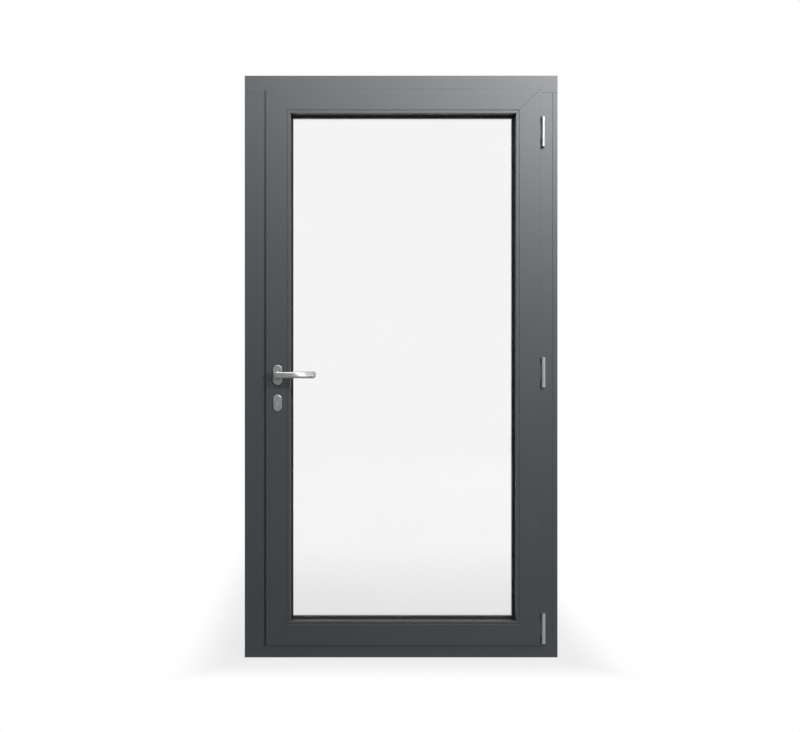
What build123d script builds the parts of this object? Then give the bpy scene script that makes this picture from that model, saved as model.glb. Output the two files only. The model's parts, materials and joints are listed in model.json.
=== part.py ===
from build123d import *
import os

os.makedirs("parts", exist_ok=True)

# Frame
FRAME_WIDTH = 1156.0
FRAME_HEIGHT = 2150.0
FRAME_DEPTH = 60.0
FRAME_FACE = 58.0
HEAD_FACE = 62.5
FRAME_WALL = 2.0
FRAME_OUTER_LIP = 8.0
LOCK_EXTENSION = 32.0
HINGE_EXTENSION = 18.0
CORNER_BLOCK_LENGTH = 50.0
ANCHOR_RADIUS = 4.0
ANCHOR_INSET = 300.0
ANCHOR_COUNT = 4
DRAIN_WIDTH = 25.0
DRAIN_HEIGHT = 5.0
DRAIN_RISE = 20.0
DRAIN_PLACE_SHARES = (-0.35, 0, 0.35)

# Sash profile
SASH_DEPTH = 72.0
SASH_FACE = 77.0
SASH_WALL = 2.2
SASH_OVERLAP = 10.0
FLANGE_REACH = 17.0
FLANGE_THICKNESS = 3.0
FLANGE_LIP = 2.2
FLANGE_LIFT = 2.4
OUTER_GAP = 6.0
CLEAT_START = 40.0
CLEAT_LEG = 90.0

# Thermal breaks and weather seals
INNER_SHELL_DEPTH = 40.0
BREAK_DEPTH = 14.0
BREAK_THICKNESS = 2.5
FRAME_BREAK_EDGE = 10.0
SASH_BREAK_EDGE = 6.0
LUG_REACH = 2.0
LUG_SETBACK = 2.0
LUG_THICKNESS = 3.0
CENTRE_GASKET_WIDTH = 10.0
CENTRE_GASKET_DEPTH = 7.6
SEAL_GAP = 0.4
FLANGE_GASKET_INSET = 4.0
FLANGE_GASKET_WIDTH = 6.0

# Glass unit and glazing
GLAZING_LEG = 17.0
LEG_THICKNESS = 3.0
GLASS_CLEARANCE = 5.0
PANE_THICKNESS = 4.0
GLASS_CAVITY = 20.0
SPACER_EDGE = 2.0
SPACER_WIDTH = 14.0
OUTER_GASKET = 4.0
INNER_GASKET = 4.5
GASKET_EDGE = 2.0
INNER_GASKET_SHOW = 5.0
OUTER_GASKET_SHOW = 2.0
BEAD_FACE = 12.5
BEAD_WALL = 1.5
BEAD_SETBACK = 1.0
SETTING_BLOCK_LENGTH = 100.0
SETTING_BLOCK_INSET = 150.0

# Hinges
HINGE_TOP_INSET = 209.0
HINGE_BOTTOM_INSET = 110.0
HINGE_MIDDLE_RISE = 1054.0
HINGE_OFFSET = 11.5
HINGE_SETBACK = 2.0
HINGE_HEIGHT = 111.0
SASH_KNUCKLE = 54.0
KNUCKLE_GAP = 0.4
KNUCKLE_RADIUS = 7.5
PIN_RADIUS = 4.0
PIN_HEAD = 6.0
PIN_FIT = 0.05
LEAF_THICKNESS = 2.5
LEAF_MARGIN = 6.0
WING_THICKNESS = 1.4
BRIDGE_THICKNESS = 3.0
FOOT_WIDTH = 8.0
LEAF_HEIGHT = 76.0
HINGE_SCREW_SPACING = 56.0
NOTCH_GAP = 0.5

# Screws
SCREW_RADIUS = 2.1
SCREW_HEAD_RADIUS = 4.0
SCREW_HEAD_DEPTH = 2.0
SCREW_LENGTH = 12.0
SCREW_FIT = 0.05
SCREW_EDGE = 7.0

# Lock
HANDLE_HEIGHT = 1044.0
BACKSET = 25.0
LOCK_SETBACK = 27.0
CASE_WIDTH = 50.0
CASE_THICKNESS = 16.0
CASE_WALL = 1.5
CASE_RISE = 95.0
CASE_DROP = 150.0
CASE_FIT = 0.3
FACEPLATE_THICKNESS = 2.5
FACEPLATE_WIDTH = 22.0
FACEPLATE_MARGIN = 15.0
BOLT_THICKNESS = 12.0
BOLT_FIT = 0.3
LATCH_RISE = 48.0
LATCH_HEIGHT = 18.0
LATCH_REACH = 11.0
LATCH_NOSE = 2.0
DEADBOLT_DROP = 45.0
DEADBOLT_HEIGHT = 24.0
DEADBOLT_LENGTH = 38.5
FOLLOWER_RADIUS = 9.0
FOLLOWER_FIT = 0.3
ARM_LENGTH = 18.0
ARM_WIDTH = 8.0
TAIL_WIDTH = 4.0
TAIL_GRIP = 5.0
TAIL_GAP = 0.3
SPINDLE_SIZE = 8.0
SPINDLE_LENGTH = 140.0
SPINDLE_FIT = 0.05
SPINDLE_HOLE_RADIUS = 8.0
STRIKE_THICKNESS = 2.0
STRIKE_MARGIN = 17.0
STRIKE_POCKET_GAP = 1.0

# Drive rods and their keeps
ROD_RADIUS = 4.0
ROD_TIP_RADIUS = 5.0
ROD_TIP_LENGTH = 40.0
ROD_INSET = 15.0
ROD_ENTRY = 31.0
ROD_FIT = 0.3
KEEP_LENGTH = 40.0
KEEP_WIDTH = 20.0
KEEP_THICKNESS = 2.0
KEEP_SCREW_SPACING = 26.0

# Profile cylinder
PLUG_DROP = 92.0
CYLINDER_RADIUS = 8.5
CYLINDER_HEIGHT = 33.0
CYLINDER_LENGTH = 86.0
CYLINDER_FIT = 0.25
FIN_RADIUS = 5.0
PLUG_RADIUS = 6.5
PLUG_FIT = 0.06
CAM_WIDTH = 10.0
CAM_THICKNESS = 8.0
CAM_RADIUS = 15.0
CAM_FIT = 0.4
CAM_SIDE_FIT = 0.2
KEYWAY_WIDTH = 2.5
KEYWAY_HEIGHT = 8.5
KEYWAY_DEPTH = 20.0
CYLINDER_SCREW_RADIUS = 2.4
CYLINDER_SCREW_HEAD_RADIUS = 4.2
CYLINDER_SCREW_HEAD_DEPTH = 2.2
CYLINDER_SCREW_RISE = 5.0

# Lever furniture
ROSETTE_WIDTH = 34.0
ROSETTE_HEIGHT = 74.0
ROSETTE_THICKNESS = 8.0
ESCUTCHEON_WIDTH = 32.0
ESCUTCHEON_HEIGHT = 62.0
ESCUTCHEON_THICKNESS = 6.0
ESCUTCHEON_DROP = 103.0
EDGE_ROUND = 2.5
LEVER_REACH = 138.0
LEVER_PROJECTION = 58.0
LEVER_BEND = 10.0
LEVER_GAP = 0.3
GRIP_HEIGHT = 23.0
GRIP_THICKNESS = 16.0
COLLAR_RADIUS = 12.5
COLLAR_DEPTH = 5.0
TIP_ROUND = 5.0

# How far every cut runs past the faces it opens
OVERRUN = 1.0

# Depth places, from the room side to the outside
y_face = -SASH_DEPTH / 2
y_outside = SASH_DEPTH / 2
y_frame = y_outside - FRAME_DEPTH
y_break_in = y_face + INNER_SHELL_DEPTH
y_break_out = y_break_in + BREAK_DEPTH
y_flange = y_face + FLANGE_THICKNESS
y_lip = y_frame - FLANGE_LIFT
y_leg = y_outside - LEG_THICKNESS
y_outer_pane = y_leg - OUTER_GASKET - PANE_THICKNESS
y_inner_pane = y_outer_pane - GLASS_CAVITY - PANE_THICKNESS
y_bead = y_inner_pane - INNER_GASKET
y_anchor = (y_frame + y_break_in) / 2
y_lock = y_face + LOCK_SETBACK

# Frame places
frame_left = -FRAME_WIDTH / 2
frame_right = FRAME_WIDTH / 2
jamb_left = frame_left + LOCK_EXTENSION
jamb_right = frame_right - HINGE_EXTENSION
rebate_left = jamb_left + FRAME_FACE
rebate_right = jamb_right - FRAME_FACE
rebate_bottom = FRAME_FACE
rebate_top = FRAME_HEIGHT - HEAD_FACE

# Sash places
sash_left = rebate_left - SASH_OVERLAP
sash_right = rebate_right + SASH_OVERLAP
sash_bottom = rebate_bottom - SASH_OVERLAP
sash_top = rebate_top + SASH_OVERLAP
sash_width = sash_right - sash_left
sash_height = sash_top - sash_bottom
edge_left = sash_left + FLANGE_REACH
edge_right = sash_right - FLANGE_REACH
edge_bottom = sash_bottom + FLANGE_REACH
edge_top = sash_top - FLANGE_REACH
outer_edge = FRAME_OUTER_LIP + SASH_OVERLAP + OUTER_GAP
glass_edge = SASH_FACE + GLASS_CLEARANCE

# Lock places
spindle_x = edge_left + BACKSET
plug_z = HANDLE_HEIGHT - PLUG_DROP
latch_z = HANDLE_HEIGHT + LATCH_RISE
deadbolt_z = HANDLE_HEIGHT - DEADBOLT_DROP
case_x = (edge_left, edge_left + CASE_WIDTH)
case_y = (y_lock - CASE_THICKNESS / 2, y_lock + CASE_THICKNESS / 2)
case_z = (HANDLE_HEIGHT - CASE_DROP, HANDLE_HEIGHT + CASE_RISE)
bolt_y = (y_lock - BOLT_THICKNESS / 2, y_lock + BOLT_THICKNESS / 2)
latch_span = (latch_z - LATCH_HEIGHT / 2, latch_z + LATCH_HEIGHT / 2)
deadbolt_span = (deadbolt_z - DEADBOLT_HEIGHT / 2, deadbolt_z + DEADBOLT_HEIGHT / 2)
faceplate_x = edge_left - FACEPLATE_THICKNESS
strike_x = rebate_left + STRIKE_THICKNESS
rod_x = edge_left + ROD_INSET
fin_drop = CYLINDER_HEIGHT - CYLINDER_RADIUS - FIN_RADIUS
cylinder_screw_z = plug_z - fin_drop - FIN_RADIUS + CYLINDER_SCREW_RISE

# Hinge places
axis_x = sash_right + HINGE_OFFSET
axis_y = y_face + HINGE_SETBACK
hinge_places = (HINGE_BOTTOM_INSET, HINGE_MIDDLE_RISE, FRAME_HEIGHT - HINGE_TOP_INSET)

RIGHT = (1, 0, 0)
LEFT = (-1, 0, 0)
BACK = (0, 1, 0)
UP = (0, 0, 1)
DOWN = (0, 0, -1)
BASE = (Align.CENTER, Align.CENTER, Align.MIN)

# The sash sides: across a side runs inward, along it runs its length
SASH_SIDES = {
    "lock_stile": (Plane((sash_left, 0, sash_bottom), x_dir=RIGHT, z_dir=UP), sash_height),
    "hinge_stile": (Plane((sash_right, 0, sash_top), x_dir=LEFT, z_dir=DOWN), sash_height),
    "top_rail": (Plane((sash_left, 0, sash_top), x_dir=DOWN, z_dir=RIGHT), sash_width),
    "bottom_rail": (Plane((sash_right, 0, sash_bottom), x_dir=UP, z_dir=LEFT), sash_width),
}


def rectangle_points(near, far, front, back):
    """Corners of an upright rectangle across a profile."""
    return [(near, front), (far, front), (far, back), (near, back)]


def grown(span, gap):
    """A pair of limits moved apart by a gap at each end."""
    return (span[0] - gap, span[1] + gap)


def bar(plane, length, outline, hollow=None, mitred=False):
    """A profile drawn out along a side, with 45 degree ends where it is mitred."""
    with BuildPart() as member:
        with BuildSketch(plane):
            with BuildLine():
                Polyline(*outline, close=True)
            make_face()
            if hollow:
                with BuildLine():
                    Polyline(*hollow, close=True)
                make_face(mode=Mode.SUBTRACT)
        extrude(amount=length)
        if mitred:
            start = Plane(plane.origin, z_dir=plane.z_dir - plane.x_dir)
            end = Plane(plane.origin + plane.z_dir * length, z_dir=-plane.z_dir - plane.x_dir)
            split(bisect_by=start, keep=Keep.TOP)
            split(bisect_by=end, keep=Keep.TOP)
    return member.part


def loop(near, far, front, back):
    """A rectangular ring that follows the sash, between two distances from the flange edge."""
    centre = ((sash_left + sash_right) / 2, front, (sash_bottom + sash_top) / 2)
    with BuildPart() as ring:
        with BuildSketch(Plane(centre, x_dir=RIGHT, z_dir=BACK)):
            Rectangle(sash_width - 2 * near, sash_height - 2 * near)
            Rectangle(sash_width - 2 * far, sash_height - 2 * far, mode=Mode.SUBTRACT)
        extrude(amount=back - front)
    return ring.part


def block(xs, ys, zs, mode=Mode.ADD):
    """Add or cut a box between pairs of X, Y and Z limits."""
    middle = (sum(xs) / 2, sum(ys) / 2, sum(zs) / 2)
    with Locations(middle):
        Box(abs(xs[1] - xs[0]), abs(ys[1] - ys[0]), abs(zs[1] - zs[0]), mode=mode)


def post(start, direction, radius, length, mode=Mode.ADD):
    """Add or cut a round bar that leaves a point in a direction."""
    with Locations(Plane(start, z_dir=direction)):
        Cylinder(radius, length, align=BASE, mode=mode)


def screw(point, direction, fit=0, mode=Mode.ADD):
    """Add a countersunk screw, or cut the hole that it fits."""
    with Locations(Plane(point, z_dir=direction)):
        Cone(SCREW_HEAD_RADIUS + fit, SCREW_RADIUS + fit, SCREW_HEAD_DEPTH, align=BASE, mode=mode)
        Cylinder(SCREW_RADIUS + fit, SCREW_LENGTH + fit, align=BASE, mode=mode)


def screw_holes(places):
    """Cut a hole for each screw in a list of points and directions."""
    for point, direction in places:
        screw(point, direction, SCREW_FIT, Mode.SUBTRACT)


def finish(builder, name):
    """Label a finished piece and write it as its own file."""
    builder.part.label = name
    export_step(builder.part, f"parts/{name}.step")


# Screw places: point of the head's face and the way it is driven
sash_leaf_face = edge_right + LEAF_THICKNESS
frame_leaf_face = rebate_right - LEAF_THICKNESS
y_sash_screw = (y_flange + y_break_in) / 2
y_frame_screw = (y_frame + y_break_in) / 2
hinge_screw_places = [
    hinge_z + side * HINGE_SCREW_SPACING / 2 for hinge_z in hinge_places for side in (-1, 1)
]
sash_hinge_screws = [((sash_leaf_face, y_sash_screw, z), LEFT) for z in hinge_screw_places]
frame_hinge_screws = [((frame_leaf_face, y_frame_screw, z), RIGHT) for z in hinge_screw_places]
faceplate_span = grown(case_z, FACEPLATE_MARGIN)
faceplate_screws = [
    ((faceplate_x, y_lock, z), RIGHT)
    for z in (faceplate_span[0] + SCREW_EDGE, faceplate_span[1] - SCREW_EDGE)
]
strike_span = (deadbolt_span[0] - STRIKE_MARGIN, latch_span[1] + STRIKE_MARGIN)
strike_screws = [
    ((strike_x, y_lock, z), LEFT) for z in (strike_span[0] + SCREW_EDGE, strike_span[1] - SCREW_EDGE)
]
keep_screw_places = (rod_x - KEEP_SCREW_SPACING / 2, rod_x + KEEP_SCREW_SPACING / 2)
head_keep_z = rebate_top - KEEP_THICKNESS
sill_keep_z = rebate_bottom + KEEP_THICKNESS
head_keep_screws = [((x, y_lock, head_keep_z), UP) for x in keep_screw_places]
sill_keep_screws = [((x, y_lock, sill_keep_z), DOWN) for x in keep_screw_places]
anchor_step = (FRAME_HEIGHT - 2 * ANCHOR_INSET) / (ANCHOR_COUNT - 1)
anchor_places = [ANCHOR_INSET + anchor_step * index for index in range(ANCHOR_COUNT)]



def tube_outlines(face, front, back):
    """Outline and hollow of a frame tube, measured inward from the base profile's outer edge."""
    outline = rectangle_points(0, face, front, back)
    hollow = rectangle_points(FRAME_WALL, face - FRAME_WALL, front + FRAME_WALL, back - FRAME_WALL)
    return outline, hollow


# Frame profiles: the head is wider than the jambs and the sill
inner_tube = tube_outlines(FRAME_FACE, y_frame, y_break_in)
head_inner_tube = tube_outlines(HEAD_FACE, y_frame, y_break_in)
outer_tube = tube_outlines(FRAME_FACE + FRAME_OUTER_LIP, y_break_out, y_outside)
head_outer_tube = tube_outlines(HEAD_FACE + FRAME_OUTER_LIP, y_break_out, y_outside)
head_plane = Plane((frame_left, 0, FRAME_HEIGHT), x_dir=DOWN, z_dir=RIGHT)
sill_plane = Plane((frame_right, 0, 0), x_dir=UP, z_dir=LEFT)


def jamb_planes(reach):
    """Planes of the lock and hinge jambs, starting a reach inside the rebate."""
    lock_plane = Plane((jamb_left, 0, rebate_bottom + reach), x_dir=RIGHT, z_dir=UP)
    hinge_plane = Plane((jamb_right, 0, rebate_top - reach), x_dir=LEFT, z_dir=DOWN)
    return lock_plane, hinge_plane


lock_jamb_plane, hinge_jamb_plane = jamb_planes(0)
lock_outer_plane, hinge_outer_plane = jamb_planes(FRAME_OUTER_LIP)
jamb_length = rebate_top - rebate_bottom
outer_jamb_length = jamb_length - 2 * FRAME_OUTER_LIP

# Head and sill, inner shells, with the rod pockets and keep screws
head_bar = bar(head_plane, FRAME_WIDTH, *head_inner_tube)
pocket_depth = FRAME_WALL + 2 * OVERRUN
pocket_radius = ROD_TIP_RADIUS + STRIKE_POCKET_GAP
with BuildPart() as frame_head_inner:
    add(head_bar)
    post((rod_x, y_lock, rebate_top - OVERRUN), UP, pocket_radius, pocket_depth, Mode.SUBTRACT)
    screw_holes(head_keep_screws)
finish(frame_head_inner, "frame_head_inner")

sill_bar = bar(sill_plane, FRAME_WIDTH, *inner_tube)
with BuildPart() as frame_sill_inner:
    add(sill_bar)
    post((rod_x, y_lock, rebate_bottom + OVERRUN), DOWN, pocket_radius, pocket_depth, Mode.SUBTRACT)
    screw_holes(sill_keep_screws)
finish(frame_sill_inner, "frame_sill_inner")

# Head and sill, outer shells, the sill with its drain slots
head_outer_bar = bar(head_plane, FRAME_WIDTH, *head_outer_tube)
with BuildPart() as frame_head_outer:
    add(head_outer_bar)
finish(frame_head_outer, "frame_head_outer")

sill_outer_bar = bar(sill_plane, FRAME_WIDTH, *outer_tube)
drain_depth = (y_outside - FRAME_WALL - OVERRUN, y_outside + OVERRUN)
with BuildPart() as frame_sill_outer:
    add(sill_outer_bar)
    for share in DRAIN_PLACE_SHARES:
        drain_x = share * FRAME_WIDTH
        drain_span = (drain_x - DRAIN_WIDTH / 2, drain_x + DRAIN_WIDTH / 2)
        block(drain_span, drain_depth, (DRAIN_RISE, DRAIN_RISE + DRAIN_HEIGHT), Mode.SUBTRACT)
finish(frame_sill_outer, "frame_sill_outer")

# Jambs, inner shells, with wall anchors, strike pockets and hinge screws
lock_jamb_bar = bar(lock_jamb_plane, jamb_length, *inner_tube)
strike_wall = (rebate_left - FRAME_WALL - OVERRUN, rebate_left + OVERRUN)
pocket_y = grown(bolt_y, STRIKE_POCKET_GAP)
jamb_bore = FRAME_FACE + 2 * OVERRUN
with BuildPart() as frame_lock_jamb_inner:
    add(lock_jamb_bar)
    for span in (latch_span, deadbolt_span):
        block(strike_wall, pocket_y, grown(span, STRIKE_POCKET_GAP), Mode.SUBTRACT)
    for z in anchor_places:
        post((jamb_left - OVERRUN, y_anchor, z), RIGHT, ANCHOR_RADIUS, jamb_bore, Mode.SUBTRACT)
    screw_holes(strike_screws)
finish(frame_lock_jamb_inner, "frame_lock_jamb_inner")

hinge_jamb_bar = bar(hinge_jamb_plane, jamb_length, *inner_tube)
with BuildPart() as frame_hinge_jamb_inner:
    add(hinge_jamb_bar)
    for z in anchor_places:
        post((jamb_right + OVERRUN, y_anchor, z), LEFT, ANCHOR_RADIUS, jamb_bore, Mode.SUBTRACT)
    screw_holes(frame_hinge_screws)
finish(frame_hinge_jamb_inner, "frame_hinge_jamb_inner")

# Jambs, outer shells
lock_outer_bar = bar(lock_outer_plane, outer_jamb_length, *outer_tube)
with BuildPart() as frame_lock_jamb_outer:
    add(lock_outer_bar)
finish(frame_lock_jamb_outer, "frame_lock_jamb_outer")

hinge_outer_bar = bar(hinge_outer_plane, outer_jamb_length, *outer_tube)
with BuildPart() as frame_hinge_jamb_outer:
    add(hinge_outer_bar)
finish(frame_hinge_jamb_outer, "frame_hinge_jamb_outer")


def extension(start_x, width):
    """A tube that widens a jamb towards the wall, with the anchor holes through it."""
    xs = (start_x, start_x + width)
    ys = (y_frame, y_outside)
    zs = (rebate_bottom, rebate_top)
    with BuildPart() as tube:
        block(xs, ys, zs)
        block(grown(xs, -FRAME_WALL), grown(ys, -FRAME_WALL), grown(zs, OVERRUN), Mode.SUBTRACT)
        for end_z in (zs[0], zs[1] - FRAME_OUTER_LIP):
            end_span = (end_z, end_z + FRAME_OUTER_LIP)
            block(grown(xs, OVERRUN), (y_break_in, y_outside + OVERRUN), end_span, Mode.SUBTRACT)
        for z in anchor_places:
            post((start_x - OVERRUN, y_anchor, z), RIGHT, ANCHOR_RADIUS, width + 2 * OVERRUN, Mode.SUBTRACT)
    return tube


# Extension strips between the jambs and the wall
frame_lock_extension = extension(frame_left, LOCK_EXTENSION)
finish(frame_lock_extension, "frame_lock_extension")
frame_hinge_extension = extension(jamb_right, HINGE_EXTENSION)
finish(frame_hinge_extension, "frame_hinge_extension")



def break_outlines(face):
    """Sections of a profile's two polyamide strips, the inner one with the centre gasket's lug."""
    far_strip = face - FRAME_BREAK_EDGE
    lug_edge = face + LUG_REACH
    lug_front = y_break_in + LUG_SETBACK
    near_end = FRAME_BREAK_EDGE + BREAK_THICKNESS
    near_outline = rectangle_points(FRAME_BREAK_EDGE, near_end, y_break_in, y_break_out)
    far_outline = [
        (far_strip - BREAK_THICKNESS, y_break_in),
        (far_strip, y_break_in),
        (far_strip, lug_front),
        (lug_edge, lug_front),
        (lug_edge, lug_front + LUG_THICKNESS),
        (far_strip, lug_front + LUG_THICKNESS),
        (far_strip, y_break_out),
        (far_strip - BREAK_THICKNESS, y_break_out),
    ]
    return near_outline, far_outline


# Polyamide strips between the frame's shells
lock_break_plane, hinge_break_plane = jamb_planes(LUG_REACH)
break_length = jamb_length - 2 * LUG_REACH
break_runs = (
    (head_plane, FRAME_WIDTH, HEAD_FACE),
    (sill_plane, FRAME_WIDTH, FRAME_FACE),
    (lock_break_plane, break_length, FRAME_FACE),
    (hinge_break_plane, break_length, FRAME_FACE),
)
frame_strips = [
    bar(plane, run, outline) for plane, run, face in break_runs for outline in break_outlines(face)
]
with BuildPart() as frame_thermal_breaks:
    for strip in frame_strips:
        add(strip)
finish(frame_thermal_breaks, "frame_thermal_breaks")

# Corner connectors that fill the jamb ends
with BuildPart() as frame_corner_blocks:
    for plug_x in ((jamb_left, rebate_left), (rebate_right, jamb_right)):
        for plug_span in (
            (rebate_bottom, rebate_bottom + CORNER_BLOCK_LENGTH),
            (rebate_top - CORNER_BLOCK_LENGTH, rebate_top),
        ):
            hollow_y = grown((y_frame, y_break_in), -FRAME_WALL)
            block(grown(plug_x, -FRAME_WALL), hollow_y, plug_span)
    screw_holes(frame_hinge_screws)
finish(frame_corner_blocks, "frame_corner_blocks")

# Centre gasket on the frame's lug
gasket_near = LUG_REACH + SASH_OVERLAP
gasket_front = y_break_in + SEAL_GAP
centre_loop = loop(
    gasket_near, gasket_near + CENTRE_GASKET_WIDTH, gasket_front, gasket_front + CENTRE_GASKET_DEPTH
)
with BuildPart() as frame_gasket:
    add(centre_loop)
finish(frame_gasket, "frame_gasket")

# Strike plate with the latch and deadbolt openings
faceplate_y = (y_lock - FACEPLATE_WIDTH / 2, y_lock + FACEPLATE_WIDTH / 2)
with BuildPart() as lock_strike:
    block((rebate_left, strike_x), faceplate_y, strike_span)
    for span in (latch_span, deadbolt_span):
        opening_x = grown((rebate_left, strike_x), OVERRUN)
        block(opening_x, grown(bolt_y, BOLT_FIT), grown(span, BOLT_FIT), Mode.SUBTRACT)
    screw_holes(strike_screws)
finish(lock_strike, "lock_strike")

# Keeps for the drive rods on the head and the sill
keep_x = (rod_x - KEEP_LENGTH / 2, rod_x + KEEP_LENGTH / 2)
keep_y = (y_lock - KEEP_WIDTH / 2, y_lock + KEEP_WIDTH / 2)
keep_bore = KEEP_THICKNESS + 2 * OVERRUN
with BuildPart() as rod_keeps:
    block(keep_x, keep_y, (head_keep_z, rebate_top))
    post((rod_x, y_lock, head_keep_z - OVERRUN), UP, ROD_TIP_RADIUS + ROD_FIT, keep_bore, Mode.SUBTRACT)
    block(keep_x, keep_y, (rebate_bottom, sill_keep_z))
    post((rod_x, y_lock, sill_keep_z + OVERRUN), DOWN, ROD_TIP_RADIUS + ROD_FIT, keep_bore, Mode.SUBTRACT)
    screw_holes(head_keep_screws + sill_keep_screws)
finish(rod_keeps, "rod_keeps")

# Screws driven into the frame
with BuildPart() as frame_screws:
    for point, direction in frame_hinge_screws + strike_screws + head_keep_screws + sill_keep_screws:
        screw(point, direction)
finish(frame_screws, "frame_screws")

# Hinge leaves on the frame: knuckles on a spine, a wing under the flange and a plate in the rebate
knuckle_end = HINGE_HEIGHT / 2
knuckle_start = SASH_KNUCKLE / 2 + KNUCKLE_GAP
wing_front = y_frame - WING_THICKNESS
foot_x = (axis_x - FOOT_WIDTH / 2, axis_x + FOOT_WIDTH / 2)
spine_x = (axis_x - KNUCKLE_RADIUS, axis_x + KNUCKLE_RADIUS)
leaf_back = y_break_in - LEAF_MARGIN
bore_length = HINGE_HEIGHT + 2 * OVERRUN
with BuildPart() as hinge_frame_leaves:
    for hinge_z in hinge_places:
        leaf_span = (hinge_z - LEAF_HEIGHT / 2, hinge_z + LEAF_HEIGHT / 2)
        spine_span = (hinge_z - knuckle_end, hinge_z + knuckle_end)
        wing_span = (hinge_z - SASH_KNUCKLE / 2, hinge_z + SASH_KNUCKLE / 2)
        block(spine_x, (wing_front, y_frame), spine_span)
        block((frame_leaf_face, axis_x), (wing_front, y_frame), wing_span)
        block((frame_leaf_face, rebate_right), (wing_front, leaf_back), leaf_span)
        lower_span = (hinge_z - knuckle_end, hinge_z - knuckle_start)
        upper_span = (hinge_z + knuckle_start, hinge_z + knuckle_end - PIN_HEAD)
        for span in (lower_span, upper_span):
            post((axis_x, axis_y, span[0]), UP, KNUCKLE_RADIUS, span[1] - span[0])
            block(foot_x, (axis_y, wing_front), span)
        bore_start = (axis_x, axis_y, spine_span[0] - OVERRUN)
        post(bore_start, UP, PIN_RADIUS + PIN_FIT, bore_length, Mode.SUBTRACT)
    screw_holes(frame_hinge_screws)
finish(hinge_frame_leaves, "hinge_frame_leaves")

# Hinge leaves on the sash: the middle knuckle, a bridge under the flange and a plate on the sash edge
with BuildPart() as hinge_sash_leaves:
    for hinge_z in hinge_places:
        leaf_span = (hinge_z - LEAF_HEIGHT / 2, hinge_z + LEAF_HEIGHT / 2)
        bridge_span = (hinge_z - SASH_KNUCKLE / 2, hinge_z + SASH_KNUCKLE / 2)
        post((axis_x, axis_y, bridge_span[0]), UP, KNUCKLE_RADIUS, SASH_KNUCKLE)
        block((edge_right, axis_x), (y_flange, y_flange + BRIDGE_THICKNESS), bridge_span)
        block((edge_right, sash_leaf_face), (y_flange, leaf_back), leaf_span)
        bore_start = (axis_x, axis_y, bridge_span[0] - OVERRUN)
        post(bore_start, UP, PIN_RADIUS + PIN_FIT, SASH_KNUCKLE + 2 * OVERRUN, Mode.SUBTRACT)
    screw_holes(sash_hinge_screws)
finish(hinge_sash_leaves, "hinge_sash_leaves")

# Hinge pins, held in the frame's knuckles and headed at the top
with BuildPart() as hinge_pins:
    for hinge_z in hinge_places:
        post((axis_x, axis_y, hinge_z - knuckle_end), UP, PIN_RADIUS, HINGE_HEIGHT)
        post((axis_x, axis_y, hinge_z + knuckle_end), DOWN, KNUCKLE_RADIUS, PIN_HEAD)
finish(hinge_pins, "hinge_pins")

# Sash profiles, measured inward from the flange edge
sash_inner_outline = [
    (0, y_face),
    (SASH_FACE, y_face),
    (SASH_FACE, y_break_in),
    (FLANGE_REACH, y_break_in),
    (FLANGE_REACH, y_flange),
    (FLANGE_LIP, y_flange),
    (FLANGE_LIP, y_lip),
    (0, y_lip),
]
hollow_near = FLANGE_REACH + SASH_WALL
hollow_far = SASH_FACE - SASH_WALL
hollow_y = (y_face + SASH_WALL, y_break_in - SASH_WALL)
sash_inner_hollow = rectangle_points(hollow_near, hollow_far, *hollow_y)
leg_edge = SASH_FACE + GLAZING_LEG
sash_outer_outline = [
    (outer_edge, y_break_out),
    (SASH_FACE, y_break_out),
    (SASH_FACE, y_leg),
    (leg_edge, y_leg),
    (leg_edge, y_outside),
    (outer_edge, y_outside),
]
sash_outer_hollow = rectangle_points(
    outer_edge + SASH_WALL, SASH_FACE - SASH_WALL, y_break_out + SASH_WALL, y_outside - SASH_WALL
)
bead_edge = SASH_FACE + BEAD_FACE
bead_front = y_face + BEAD_SETBACK
bead_outline = rectangle_points(SASH_FACE, bead_edge, bead_front, y_bead)
bead_hollow = rectangle_points(
    SASH_FACE + BEAD_WALL, bead_edge - BEAD_WALL, bead_front + BEAD_WALL, y_bead - BEAD_WALL
)
inner_bars = {
    name: bar(plane, length, sash_inner_outline, sash_inner_hollow, mitred=True)
    for name, (plane, length) in SASH_SIDES.items()
}
outer_bars = {
    name: bar(plane, length, sash_outer_outline, sash_outer_hollow, mitred=True)
    for name, (plane, length) in SASH_SIDES.items()
}
bead_bars = {
    name: bar(plane, length, bead_outline, bead_hollow, mitred=True)
    for name, (plane, length) in SASH_SIDES.items()
}


def cylinder_profile(fit, front, back):
    """The lock cylinder's outline: a round top over a narrower round-ended fin."""
    with BuildPart() as profile:
        with BuildSketch(Plane((spindle_x, front, plug_z), x_dir=RIGHT, z_dir=BACK)):
            Circle(CYLINDER_RADIUS + fit)
            with Locations((0, fin_drop / 2)):
                Rectangle(2 * (FIN_RADIUS + fit), fin_drop)
            with Locations((0, fin_drop)):
                Circle(FIN_RADIUS + fit)
        extrude(amount=back - front)
    return profile.part


sash_through = SASH_DEPTH + 2 * OVERRUN
spindle_start = (spindle_x, y_face - OVERRUN, HANDLE_HEIGHT)
cylinder_cut = cylinder_profile(CYLINDER_FIT, y_face - OVERRUN, y_outside + OVERRUN)
edge_wall = (edge_left - OVERRUN, edge_left + SASH_WALL + OVERRUN)

# Lock stile, with the lock's slot, the spindle's and the cylinder's holes
with BuildPart() as sash_lock_stile_inner:
    add(inner_bars["lock_stile"])
    block(edge_wall, grown(case_y, CASE_FIT), grown(case_z, CASE_FIT), Mode.SUBTRACT)
    post(spindle_start, BACK, SPINDLE_HOLE_RADIUS, sash_through, Mode.SUBTRACT)
    add(cylinder_cut, mode=Mode.SUBTRACT)
    screw_holes(faceplate_screws)
finish(sash_lock_stile_inner, "sash_lock_stile_inner")

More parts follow.
